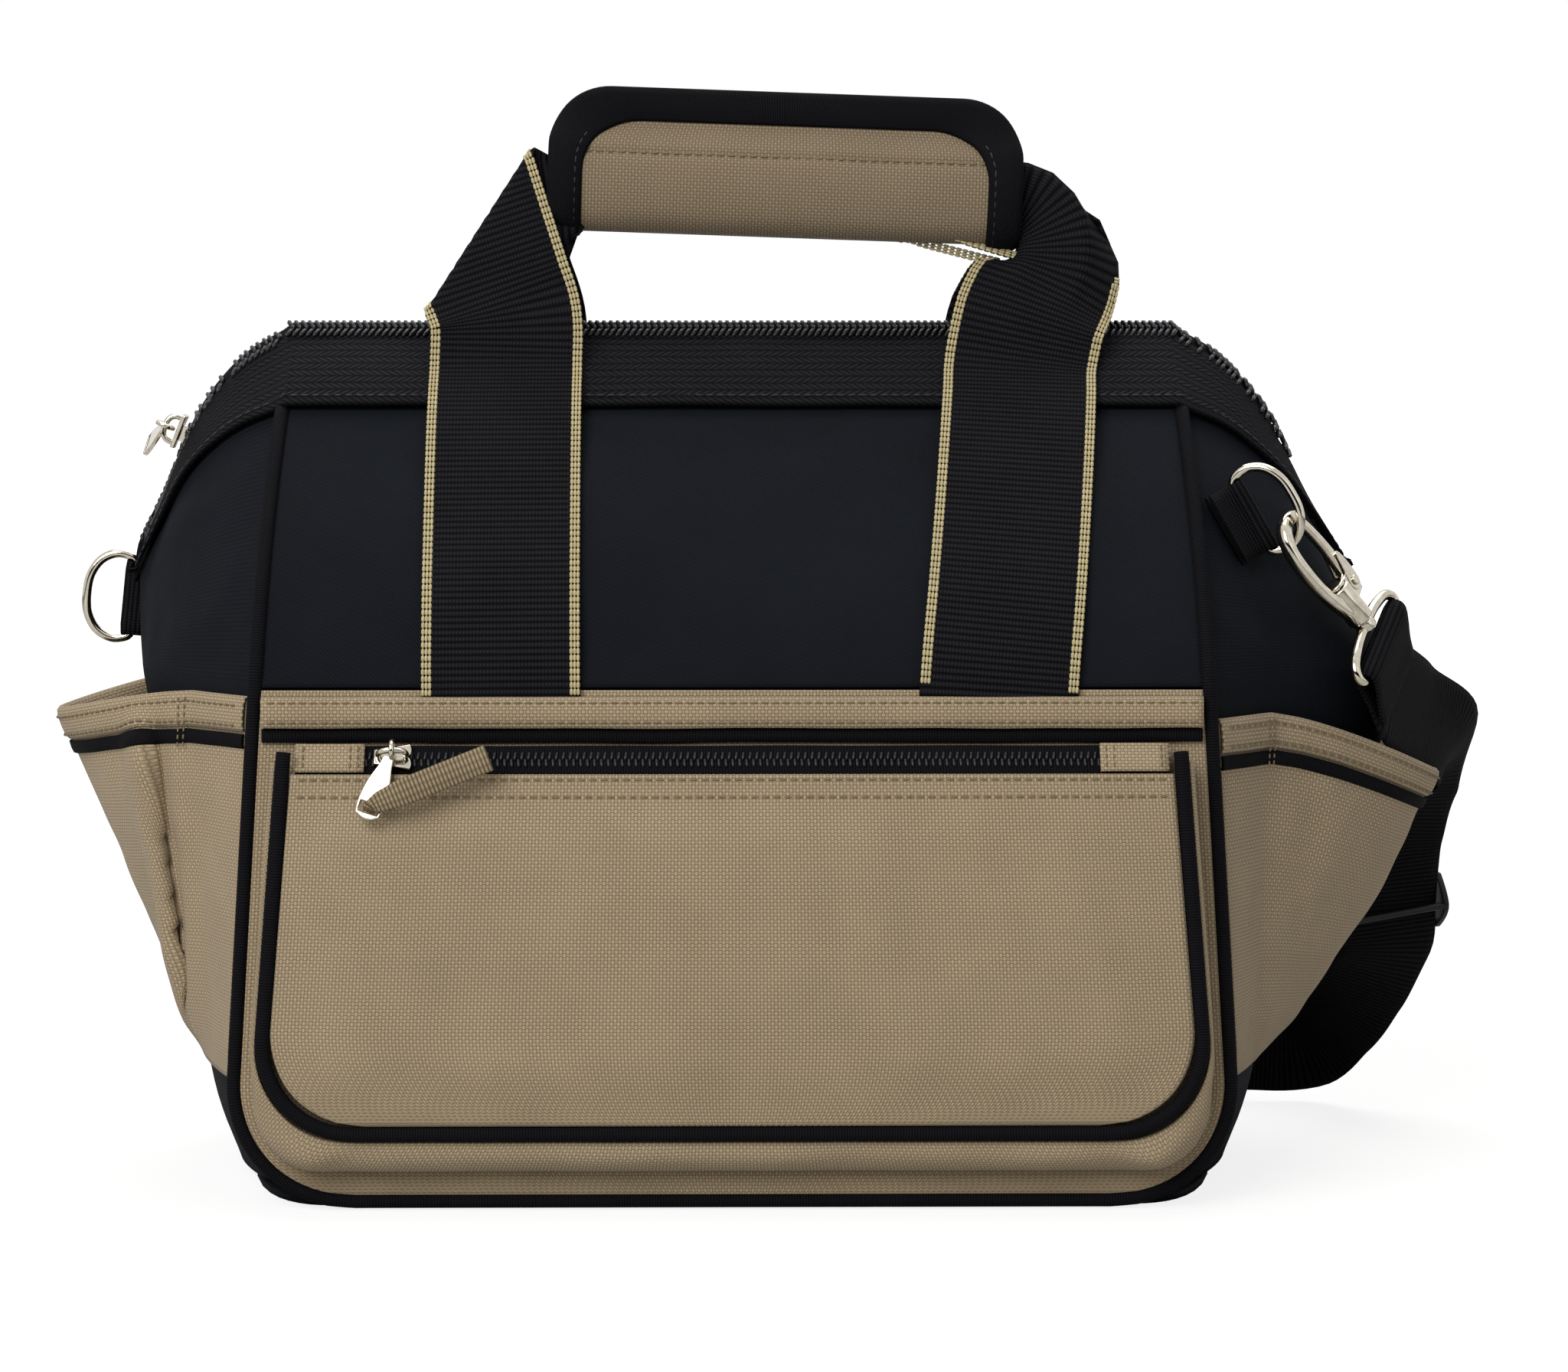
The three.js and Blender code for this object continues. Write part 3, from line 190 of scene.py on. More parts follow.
# heavy polyester canvas, plain weave of flat doubled yarns: an even matt grid, dark between the yarns
def wovenCanvas(name, low, high, pitch):
    finish = {"Roughness": 0.88, "Specular IOR Level": 0.25, "Sheen Weight": 0.08}
    weave = {"flatness": 0.6, "weftTone": 0.7, "gapTone": 0.75, "depth": 0.22}
    material, tree, shader = startMaterial(name, finish)
    place, across, along = uvParts(tree, pitch, pitch)
    over = addNode(tree, "TexChecker", {"Vector": place, "Scale": 1.0, "Color1": (1, 1, 1, 1),
                                        "Color2": (0, 0, 0, 1)}).outputs["Fac"]
    under = addNode(tree, "Math", {0: 1.0, 1: over}, operation="SUBTRACT")
    lower = addNode(tree, "Math", {0: under, 1: weave["weftTone"]}, operation="MULTIPLY")
    warp = addNode(tree, "Math", {0: yarnBack(tree, across), 1: weave["flatness"]}, operation="POWER")
    weft = addNode(tree, "Math", {0: yarnBack(tree, along), 1: weave["flatness"]}, operation="POWER")
    warpTop = addNode(tree, "Math", {0: warp, 1: over}, operation="MULTIPLY")
    weftTop = addNode(tree, "Math", {0: weft, 1: lower}, operation="MULTIPLY")
    top = addNode(tree, "Math", {0: warpTop, 1: weftTop}, operation="ADD")
    gaps = addNode(tree, "Math", {0: warp, 1: weft}, operation="MULTIPLY")
    gaps = shareOf(tree, gaps, weave["gapTone"], 1 - weave["gapTone"])
    crossed = addNode(tree, "Math", {0: top, 1: gaps}, operation="MULTIPLY")
    finishCloth(tree, shader, crossed, low, high, weave["depth"])
    return material


# polyester twill: a faint steep diagonal line, and a cool sheen that is painted into the colour as broad light and dark
# clouds
def twillCloth(name, low, high, pitch):
    material, tree, shader = startMaterial(name, {"Roughness": 0.72, "Specular IOR Level": 0.04})
    across, along = uvParts(tree, pitch, pitch)[1:]
    slant = addNode(tree, "Math", {0: along, 1: 0.6}, operation="MULTIPLY")
    diagonal = addNode(tree, "Math", {0: across, 1: slant}, operation="ADD")
    picks = addNode(tree, "Math", {0: along, 1: 1.7}, operation="MULTIPLY")
    picks = shareOf(tree, yarnBack(tree, picks), 0.6, 0.4)
    line = addNode(tree, "Math", {0: yarnBack(tree, diagonal), 1: picks}, operation="MULTIPLY")
    line = addNode(tree, "Math", {0: line, 1: 1.4}, operation="POWER")
    # the strong, broad clouds here are painted sheen and painted shade of the cloth's soft dents
    finishCloth(tree, shader, line, low, high, 0.15, 0.5, 16)
    return material


# heavy webbing: cross ribs of short upright yarn ends, with dark lines between the ribs
def ribbedWebbing(name, low, high, ribPitch, columnWidth, depth):
    material, tree, shader = startMaterial(name, {"Roughness": 0.7, "Specular IOR Level": 0.03})
    across, along = uvParts(tree, columnWidth, ribPitch)[1:]
    rib = addNode(tree, "Math", {0: yarnBack(tree, along), 1: 1.6}, operation="POWER")
    column = shareOf(tree, yarnBack(tree, across), 0.35, 0.65)
    height = addNode(tree, "Math", {0: rib, 1: column}, operation="MULTIPLY")
    finishCloth(tree, shader, height, low, high, depth)
    return material


# binding webbing woven in a zigzag: short slanted yarns that turn back at each row
def herringboneWebbing(name, low, high, pitch, rowWidth):
    material, tree, shader = startMaterial(name, {"Roughness": 0.68, "Specular IOR Level": 0.03})
    across, along = uvParts(tree, rowWidth, pitch)[1:]
    turned = addNode(tree, "Math", {0: across, 1: 1.0}, operation="PINGPONG")
    slant = addNode(tree, "Math", {0: turned, 1: 1.6}, operation="MULTIPLY")
    zigzag = addNode(tree, "Math", {0: along, 1: slant}, operation="ADD")
    yarn = addNode(tree, "Math", {0: yarnBack(tree, zigzag), 1: 0.7}, operation="POWER")
    row = shareOf(tree, yarnBack(tree, across), 0.2, 0.8)
    height = addNode(tree, "Math", {0: yarn, 1: row}, operation="MULTIPLY")
    finishCloth(tree, shader, height, low, high, 0.45)
    return material


# narrow woven tape with close straight cross ribs
def grosgrain(name, low, high, pitch, depth):
    material, tree, shader = startMaterial(name, {"Roughness": 0.75, "Specular IOR Level": 0.03})
    across, along = uvParts(tree, pitch * 0.8, pitch)[1:]
    warp = shareOf(tree, yarnBack(tree, across), 0.5, 0.5)
    rib = addNode(tree, "Math", {0: yarnBack(tree, along), 1: warp}, operation="MULTIPLY")
    finishCloth(tree, shader, rib, low, high, depth)
    return material


# bright nickel plate on zinc or steel: mirror-like with faint handling haze
def platedMetal(name, low, high, roughness):
    material, tree, shader = startMaterial(name, {"Metallic": 1})
    coord = addNode(tree, "TexCoord").outputs
    haze = addNode(tree, "TexNoise", {"Vector": coord["Object"], "Scale": 420.0, "Detail": 4.0}).outputs["Fac"]
    rough = addNode(tree, "MapRange", {0: haze, 3: roughness * 0.7, 4: roughness * 1.5})
    tint = addNode(tree, "ValToRGB", {"Fac": haze})
    tint.color_ramp.elements[0].color = linear(low)
    tint.color_ramp.elements[1].color = linear(high)
    tree.links.new(tint.outputs[0], shader.inputs["Base Color"])
    tree.links.new(rough.outputs[0], shader.inputs["Roughness"])
    return material


# twisted thread, cut plastic or moulded nylon: small tone changes only
def plainYarn(name, low, high, roughness, scale):
    material, tree, shader = startMaterial(name, {"Roughness": roughness, "Specular IOR Level": 0.25})
    coord = addNode(tree, "TexCoord").outputs
    grain = addNode(tree, "TexNoise", {"Vector": coord["Object"], "Scale": scale, "Detail": 3.0}).outputs["Fac"]
    tint = addNode(tree, "ValToRGB", {"Fac": grain})
    tint.color_ramp.elements[0].color = linear(low)
    tint.color_ramp.elements[1].color = linear(high)
    bump = addNode(tree, "Bump", {"Height": grain, "Strength": 0.4, "Distance": 0.1 * mm})
    tree.links.new(tint.outputs[0], shader.inputs["Base Color"])
    tree.links.new(bump.outputs[0], shader.inputs["Normal"])
    return material


# yarn pitches are in mm, drawn a little coarser than the real yarns so that the weaves show in the render
looks = {
    # canvas: dull and even; the grip's copy is a little darker, painted shade standing for the shade on the rounded
    # grip wrap
    "tanCanvas": wovenCanvas("tan polyester canvas, plain woven", "#5c4f3c", "#ac997c", 1.1),
    "gripShadedCanvas": wovenCanvas("tan polyester canvas, plain woven, darkened by hands", "#4a3f30", "#8e7d65", 1.1),
    # tapes, twill and webbing: ribs and slants that break up the light on otherwise flat black
    "tanTape": grosgrain("tan polyester tape, ribbed", "#4c4232", "#9c8b70", 1.3, 0.35),
    "blackTwill": twillCloth("black polyester twill", "#050608", "#1c1f25", 0.9),
    "handleWeb": ribbedWebbing("black polypropylene webbing, heavy ribbed", "#050506", "#222226", 2.15, 1.1, 0.5),
    "strapWeb": ribbedWebbing("black nylon webbing, ribbed", "#040405", "#1c1c1f", 1.6, 1.0, 0.4),
    "mouthWeb": herringboneWebbing("black webbing, herringbone woven", "#020203", "#1f1f22", 2.6, 3.4),
    "blackTape": grosgrain("black grosgrain tape", "#060607", "#17171a", 0.9, 0.18),
    # bright wire and castings with a warm tint
    "nickel": platedMetal("nickel-plated zinc, polished", "#a59c8a", "#dcd6c8", 0.1),
    # nylon coil with small highlights on each turn, then threads that stand off the cloth by their tone
    "coil": plainYarn("black nylon coil, moulded", "#0b0b0d", "#1b1b1f", 0.32, 300.0),
    "tanThread": plainYarn("tan polyester thread, twisted", "#584b36", "#7f6f54", 0.7, 900.0),
    "edgeThread": plainYarn("pale tan cord, chain woven", "#8c7f5a", "#c4b78f", 0.75, 700.0),
    "blackThread": plainYarn("black polyester thread, twisted", "#0d0d0f", "#232327", 0.6, 900.0),
    # nap that soaks up light, satin moulded plastic, and the plain board inside
    "fleece": plainYarn("black hook-and-loop tape, napped nylon", "#08080a", "#1c1c20", 0.9, 1600.0),
    "moulded": plainYarn("black acetal, injection moulded", "#050506", "#0c0c0e", 0.5, 120.0),
    "board": plainYarn("black polypropylene board, extruded", "#131315", "#1c1c1f", 0.5, 60.0),
}
print("materials made:", len(looks))


# builders for cloth, tubes and stitches; they take millimetres and store metres
def mix(a, b, t):
    return a + (b - a) * t


def spread(low, high, count):
    return [mix(low, high, i / (count - 1)) for i in range(count)]


def clamp(x, low=0.0, high=1.0):
    return max(low, min(high, x))


def ease(x, low, high):
    t = clamp((x - low) / (high - low))
    return t * t * (3 - 2 * t)


def readOff(stations, x):
    for (x0, y0), (x1, y1) in zip(stations, stations[1:]):
        if x <= x1:
            break
    return mix(y0, y1, (x - x0) / (x1 - x0))


def ripple(p, size, seed):
    return noise.noise(Vector((p.x / size + seed, p.y / size - seed, p.z / size + 2 * seed)))


def useMesh(name, points, faces, corners, look, smooth=True):
    mesh = bpy.data.meshes.new(name)
    mesh.from_pydata([p * mm for p in points], [], faces)
    layer = mesh.uv_layers.new(name="cloth")
    for i, (u, v) in enumerate(corners):
        layer.data[i].uv = (u * mm, v * mm)
    piece = bpy.data.objects.new(name, mesh)
    scene.collection.objects.link(piece)
    mesh.materials.append(looks[look])
    mesh.polygons.foreach_set("use_smooth", [smooth] * len(mesh.polygons))
    return piece


def selectOnly(*pieces):
    bpy.ops.object.select_all(action="DESELECT")
    for piece in pieces:
        piece.select_set(True)
    bpy.context.view_layer.objects.active = pieces[0]


def applyAll(piece):
    selectOnly(piece)
    for modifier in [m.name for m in piece.modifiers]:
        bpy.ops.object.modifier_apply(modifier=modifier)


def joinUp(piece, nodes, body="bag"):
    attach(piece, body)
    if nodes:
        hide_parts(*nodes)
    return piece


def lengths(points):
    out = [0.0]
    for a, b in zip(points, points[1:]):
        out.append(out[-1] + (b - a).length)
    return out


# rows of points become a sheet whose UV is the cloth's own flat size
def clothSheet(name, rows, thick, look, outside, band=False):
    count = len(rows[0])
    points = [p for row in rows for p in row]
    across, up = lengths(rows[len(rows) // 2]), lengths([row[count // 2] for row in rows])
    i, j = len(rows) // 2, count // 2
    a, b, c = rows[i][j], rows[i][j + 1], rows[i + 1][j]
    flip = (b - a).cross(c - a).dot(outside) < 0
    faces, corners = [], []
    for i in range(len(rows) - 1):
        for j in range(count - 1):
            ring = [(i, j), (i, j + 1), (i + 1, j + 1), (i + 1, j)]
            if flip:
                ring.reverse()
            faces.append([k * count + m for k, m in ring])
            corners += [(up[k], across[m]) if band else (across[m], up[k]) for k, m in ring]
    piece = useMesh(name, points, faces, corners, look)
    if thick:
        solid = piece.modifiers.new("thickness", "SOLIDIFY")
        solid.thickness = thick * mm
        solid.offset = -1
        applyAll(piece)
    return piece


bagMiddle = Vector((0, 0, 110))  # what outward points away from


def outward(surface, u, v):
    step = 0.004
    du = surface(u + step, v) - surface(u - step, v)
    dv = surface(u, v + step) - surface(u, v - step)
    normal = du.cross(dv).normalized()
    return -normal if normal.dot(surface(u, v) - bagMiddle) < 0 else normal


def patchRows(surface, us, vs, lift, fold=None):
    rows = []
    for v in vs:
        row = []
        for u in us:
            p = surface(u, v)
            raised = lift + (fold(u, v, p) if fold else 0)
            row.append(p + outward(surface, u, v) * raised)
        rows.append(row)
    return rows


def patch(name, surface, us, vs, lift, thick, look, fold=None, band=False):
    rows = patchRows(surface, us, vs, lift, fold)
    u, v = us[len(us) // 2], vs[len(vs) // 2]
    return clothSheet(name, rows, thick, look, outward(surface, u, v), band)


# one span of a centripetal Catmull-Rom curve
def catmull(p0, p1, p2, p3, share):
    t1 = max((p1 - p0).length, 1e-6) ** 0.5
    t2 = t1 + max((p2 - p1).length, 1e-6) ** 0.5
    t3 = t2 + max((p3 - p2).length, 1e-6) ** 0.5
    t = mix(t1, t2, share)
    a1 = p0 * ((t1 - t) / t1) + p1 * (t / t1)
    a2 = p1 * ((t2 - t) / (t2 - t1)) + p2 * ((t - t1) / (t2 - t1))
    a3 = p2 * ((t3 - t) / (t3 - t2)) + p3 * ((t - t2) / (t3 - t2))
    b1 = a1 * ((t2 - t) / t2) + a2 * (t / t2)
    b2 = a2 * ((t3 - t) / (t3 - t1)) + a3 * ((t - t1) / (t3 - t1))
    return b1 * ((t2 - t) / (t2 - t1)) + b2 * ((t - t1) / (t2 - t1))


def withEnds(points):
    return [points[0] * 2 - points[1]] + points + [points[-1] * 2 - points[-2]]


def curveThrough(points, step):
    points = [Vector(p) for p in points]
    ends = withEnds(points)
    fine = [catmull(*ends[i:i + 4], k / 16) for i in range(len(points) - 1) for k in range(16)]
    return evenPoints(fine + [points[-1]], step)


def closedLoop(points, step):
    points = [Vector(p) for p in points]
    ring = points[-1:] + points + points[:2]
    fine = [catmull(*ring[i:i + 4], k / 16) for i in range(len(points)) for k in range(16)]
    return evenPoints(fine + [points[0]], step)[:-1]


# for rising distances along a line: the span each one falls in, and its share of that span
def walk(at, wanted):
    i = 0
    for want in wanted:
        while i < len(at) - 2 and at[i + 1] < want:
            i += 1
        gap = at[i + 1] - at[i]
        yield i, clamp((want - at[i]) / gap) if gap else 0


def evenPoints(points, step):
    at = lengths(points)
    count = max(2, round(at[-1] / step) + 1)
    wanted = [at[-1] * k / (count - 1) for k in range(count)]
    return [points[i].lerp(points[i + 1], share) for i, share in walk(at, wanted)]


def tangents(points, closed=False):
    count = len(points)
    out = []
    for i in range(count):
        before = points[i - 1] if i or closed else points[i]
        after = points[(i + 1) % count] if i < count - 1 or closed else points[i]
        out.append((after - before).normalized())
    return out


# closed rings of points become a solid sweep; the lengths round the section and along the route make the UV
def sweep(name, rings, look, closed=False, smooth=True, route=None):
    count = len(rings[0])
    section = lengths(rings[0] + [rings[0][0]])
    middle = [sum(ring, Vector()) / count for ring in rings]
    route = route or lengths(middle + [middle[0]])
    points = [p for ring in rings for p in ring]
    faces, corners = [], []
    spans = len(rings) if closed else len(rings) - 1
    for i in range(spans):
        for j in range(count):
            ring = [(i, j), (i, j + 1), (i + 1, j + 1), (i + 1, j)]
            faces.append([(k % len(rings)) * count + m % count for k, m in ring])
            corners += [(section[m], route[k]) for k, m in ring]
    if not closed:
        last = (len(rings) - 1) * count
        faces += [list(range(count))[::-1], [last + j for j in range(count)]]
        corners += [(section[j], 0) for j in range(count)][::-1]
        corners += [(section[j], route[-1]) for j in range(count)]
    piece = useMesh(name, points, faces, corners, look, smooth)
    fixNormals(piece)
    return piece


def fixNormals(piece):
    selectOnly(piece)
    bpy.ops.object.mode_set(mode="EDIT")
    bpy.ops.mesh.select_all(action="SELECT")
    bpy.ops.mesh.normals_make_consistent(inside=False)
    bpy.ops.object.mode_set(mode="OBJECT")


def tubeRings(points, radius, sides, closed=False):
    ways = tangents(points, closed)
    side = ways[0].orthogonal().normalized()
    rings = []
    for p, way in zip(points, ways):
        side = (side - way * side.dot(way)).normalized()
        up = way.cross(side)
        turns = [2 * math.pi * k / sides for k in range(sides)]
        rings.append([p + side * (radius * math.cos(a)) + up * (radius * math.sin(a)) for a in turns])
    return rings


def tube(name, points, radius, sides, look, closed=False):
    return sweep(name, tubeRings(points, radius, sides, closed), look, closed)


# many short rounded beads in one mesh: thread stitches, chain edges and zip teeth
def beads(name, places, look):
    points, faces, corners = [], [], []
    profile = [(-0.5, 0.35), (-0.28, 1.0), (0.28, 1.0), (0.5, 0.35)]  # place along the bead and its thickness
    for middle, way, normal, long, wide, high in places:
        way = way.normalized()
        side = way.cross(normal).normalized()
        top = side.cross(way)
        start = len(points)
        for s, r in profile:
            for k in range(6):
                a = math.pi / 3 * k
                points.append(middle + way * (s * long) + side * (wide / 2 * r * math.cos(a)) +
                              top * (high / 2 * r * math.sin(a)))
        for i in range(3):
            for k in range(6):
                a, b = start + 6 * i + k, start + 6 * i + (k + 1) % 6
                faces.append([a, b, b + 6, a + 6])
        faces.append([start + 5 - k for k in range(6)])
        faces.append([start + 18 + k for k in range(6)])
        corners += [(0, 0)] * 84
    piece = useMesh(name, points, faces, corners, look)
    fixNormals(piece)
    return piece


# even stitches along a line, each a share of its pitch long and sunk into the cloth
def stitchPlaces(points, normals, pitch, share=0.72, wide=0.75, high=0.55):
    at = lengths(points)
    count = max(1, int(at[-1] / pitch))
    out = []
    for i, t in walk(at, [at[-1] * (k + 0.5) / count for k in range(count)]):
        normal = normals[i].lerp(normals[i + 1], t).normalized()
        middle = points[i].lerp(points[i + 1], t) + normal * (high * 0.15)
        out.append((middle, points[i + 1] - points[i], normal, pitch * share, wide, high))
    return out


# the bag's skin, the same lofted surfaces as the solid part
shellSet = {"halfDepth": 95, "shoulder": 168, "ridge": 283, "halfLow": 163, "halfHigh": 155, "halfRidge": 150,
            "belly": (153, 80, 226), "endHalf": 91.05, "corner": 38, "piping": 2.4, "cloth": 1.2, "sag": 2.4,
            "bulge": 29, "creases": 2.0, "lower": (3, 167.65)}
# the ends' farthest reach at each height, and the drooping ends of the zip
tipLine = [(0, 166), (20, 174), (42, 179), (110, 190), (168, 200)]
ridgeEnd = [(202, 208), (190, 229), (180, 252), (172, 264), (162, 274), (150, 281)]
ridgeFine = curveThrough([(x, 0, z) for x, z in ridgeEnd], 0.5)


def halfWidth(z):
    low, high = shellSet["halfLow"], shellSet["halfHigh"]
    return readOff([(0, low), (50, low), (shellSet["shoulder"], high)], z)


def seamHalf(z):
    drop = max(0, shellSet["corner"] - z)
    turned = math.sqrt(max(0, shellSet["corner"] ** 2 - drop ** 2))
    return halfWidth(z) - shellSet["corner"] + turned - shellSet["piping"]


def endLow(side, u, z):
    tip = sum(readOff(tipLine, clamp(z + d, 0, 200)) for d in (-14, -7, 0, 7, 14)) / 5
    bulge = 0 if side < 0 else shellSet["bulge"] * ease(z, 60, 165) * max(0, 1 - (u / 0.78) ** 2) ** 2
    return Vector((side * (mix(tip, seamHalf(z), min(abs(u), 1) ** 1.8) + bulge), u * shellSet["endHalf"], z))


def arch(low, control, high, s):
    return low * (1 - s) ** 2 + control * (2 * s * (1 - s)) + high * s ** 2


def faceHigh(front, f, s):
    low = Vector((f * shellSet["halfHigh"], front * shellSet["halfDepth"], shellSet["shoulder"]))
    x, y, z = shellSet["belly"]
    return arch(low, Vector((f * x, front * y, z)), Vector((f * shellSet["halfRidge"], 0, shellSet["ridge"])), s)


def endHigh(side, u, s):
    low = endLow(side, u, shellSet["shoulder"])
    share = min(abs(u), 1)
    high = ridgeFine[round(share * (len(ridgeFine) - 1))].copy()
    high.x *= side
    control = (low + high) / 2 + Vector((side * 4 * math.sin(math.pi * share), 32.5 * u, 0))
    return arch(low, control, high, s)


# half the width at a height of a U with rounded lower corners, and the line along that U
def uHalf(top, topZ, low, bottomZ, radius, z):
    if z >= bottomZ + radius:
        return mix(low, top, (z - bottomZ - radius) / (topZ - bottomZ - radius))
    a, b = 0.0, 1.0
    for k in range(40):
        t = (a + b) / 2
        height = radius * (1 - t) ** 3 + 0.42 * radius * 3 * t * (1 - t) ** 2
        a, b = (t, b) if height > z - bottomZ else (a, t)
    return low - radius * (0.42 * 3 * t ** 2 * (1 - t) + t ** 3)


def uPath(top, topZ, low, bottomZ, radius, step):
    right = [Vector((uHalf(top, topZ, low, bottomZ, radius, z), 0, z)) for z in spread(bottomZ, topZ, 240)]
    path = [Vector((-p.x, 0, p.z)) for p in reversed(right)] + right
    return evenPoints(path, step)


for name, front in (("front", -1), ("back", 1)):
    def face(f, s, front=front):
        return faceHigh(front, f, s)

    def slack(f, s, p, front=front):
        hold = ease(abs(f), 0.97, 0.8) * ease(s, 0.0, 0.15) * ease(s, 0.8, 0.6)
        lean = Vector((p.x + 0.5 * p.z, p.y, 0.35 * p.z - 0.2 * p.x))
        return hold * shellSet["sag"] * (ripple(lean, 46, 3.1 + front) + 0.4 * ripple(lean, 19, 8.7))

    piece = patch(name + "_upper_cloth", face, spread(-0.979, 0.979, 110), spread(0.005, 0.79, 60), 0,
                  shellSet["cloth"], "blackTwill", slack)
    joinUp(piece, [name + "_upper_panel"])

    # the back panel shows its slack, the front one is flat behind its pocket
    rows = []
    bottom, top = shellSet["lower"]
    for z in spread(bottom, top, 70):
        half = uHalf(halfWidth(top) - 3, top, shellSet["halfLow"] - 3, bottom, shellSet["corner"] - 1, z)
        row = []
        for f in spread(-1, 1, 100):
            p = Vector((f * half, front * shellSet["halfDepth"], z))
            bulge = 2.2 * (1 - f ** 4) * ease(z, 4, 50) * ease(z, 168, 130) + 1.1 * ripple(p, 34, 5.5 + front)
            p.y += front * bulge * ease(abs(f), 1, 0.85) * ease(z, 5, 30) * ease(z, 167, 140) if front > 0 else 0
            row.append(p)
        rows.append(row)
    piece = clothSheet(name + "_lower_cloth", rows, shellSet["cloth"], "tanCanvas", Vector((0, front, 0)))
    joinUp(piece, [name + "_lower_panel"])

    cord, top = shellSet["piping"], shellSet["shoulder"]
    line = uPath(halfWidth(top) - cord, top, shellSet["halfLow"] - cord, cord, shellSet["corner"], 4)
    low = [Vector((p.x, front * (shellSet["halfDepth"] - 1), p.z)) for p in line]
    edge = 1 - cord / shellSet["halfHigh"]
    left = [faceHigh(front, -edge, s) for s in spread(0.76, 0.06, 10)]
    right = [faceHigh(front, edge, s) for s in spread(0.06, 0.76, 10)]
    piece = tube(name + "_seam_piping", curveThrough(left + low + right, 3), cord, 14, "blackTape")
    joinUp(piece, [name + "_piping"])

for name, side in (("left", -1), ("right", 1)):
    def lowEnd(u, z, side=side):
        return endLow(side, u, z)

    def highEnd(u, s, side=side):
        return endHigh(side, u, s)

    def creased(u, s, p):
        hold = ease(abs(u), 0.98, 0.8) * ease(s, 0.0, 0.2) * ease(s, 0.8, 0.6)
        return hold * shellSet["creases"] * (ripple(p, 38, 1.7) + 0.5 * ripple(p, 17, 4.2))

    rows = patchRows(lowEnd, spread(-1.014, 1.014, 72), spread(2.6, 166, 40), 0)
    rows += patchRows(highEnd, spread(-1.014, 1.014, 72), spread(0.02, 0.79, 46), 0, creased)
    piece = clothSheet(name + "_end_cloth", rows, shellSet["cloth"], "blackTwill", Vector((side, 0, 0)))
    joinUp(piece, [name + "_end_panel"])
print("shell made")


# mouth: herringbone bands, zip tape and the coil along the ridge
mouthSet = {"low": 0.76, "top": 0.965, "dip": 0.23, "ends": (0.03, 2.97), "bandLift": 2.9, "bandThick": 1.5,
            "stitchPitch": 3.6, "coilPitch": 2.3, "coilLift": 3.2, "coilLiftRight": 2}


# w runs round the mouth: 0 to 1 on the left end, 1 to 2 along the face, 2 to 3 on the right end
def mouthPlace(front, w, s):
    if w < 1:
        return endHigh(-1, front * w, s)
    if w > 2:
        return endHigh(1, front * (3 - w), s)
    return faceHigh(front, 2 * w - 3, s)


def mouthTop(w):
    return mouthSet["top"] - mouthSet["dip"] * clamp(abs(w - 1.5) - 0.5) ** 2


trail = spread(*mouthSet["ends"], 420)
trailAt = lengths([mouthPlace(-1, w, 1) for w in trail])
coilCount = int(trailAt[-1] / mouthSet["coilPitch"])
coilAt = [(k + 0.5) * trailAt[-1] / coilCount for k in range(coilCount)]
for name, front in (("front", -1), ("back", 1)):
    def bandSurface(w, v, front=front):
        return mouthPlace(front, w, mix(mouthSet["low"], mouthTop(w), v))

    def tapeSurface(w, v, front=front):
        return mouthPlace(front, w, mix(mouthTop(w) - 0.05, 1, v))

    def pucker(w, v, p):
        return 0.5 * ripple(p, 22, 6.3)

    piece = patch(name + "_mouth_band", bandSurface, spread(*mouthSet["ends"], 190), spread(0, 1, 9),
                  mouthSet["bandLift"], mouthSet["bandThick"], "mouthWeb", pucker, True)
    joinUp(piece, [name + "_mouth_webbing"])
    piece = patch(name + "_mouth_tape", tapeSurface, spread(0.02, 2.98, 190), spread(0, 1, 6), 2.0, 0.9, "blackTape",
                  None, True)
    joinUp(piece, [])
    # the closed coil lies over to the front, the back half above the front half
    teeth = []
    for i, share in walk(trailAt, coilAt):
        w = mix(trail[i], trail[i + 1], share)
        top = mouthPlace(-1, w, 1)
        down = (mouthPlace(-1, w, 0.93) - top).normalized()
        run = (mouthPlace(-1, w + 0.004, 1) - top).normalized()
        out = run.cross(down)
        out *= 1 if out.y < 0 else -1
        seat = top + out * (mouthSet["coilLift"] + mouthSet["coilLiftRight"] * ease(w, 2.2, 2.6))
        teeth.append((seat + down * (3.0 if front > 0 else 7.6), down + run * (0.5 * front), out, 4.6, 1.7, 1.9))
        if front > 0:
            teeth.append((seat + down * 5.3 + run * 1.1, down, out, 2.6, 1.1, 2.3))
    joinUp(beads(name + "_mouth_coil", teeth, "coil"), [name + "_mouth_zip"])
    sewn = spread(0.05, 2.95, 240)
    lifts = [outward(bandSurface, w, 0.12) for w in sewn]
    edge = [bandSurface(w, 0.12) + lift * mouthSet["bandLift"] for w, lift in zip(sewn, lifts)]
    marks = stitchPlaces(edge, lifts, mouthSet["stitchPitch"])
    joinUp(beads(name + "_mouth_stitches", marks, "blackThread"), [])

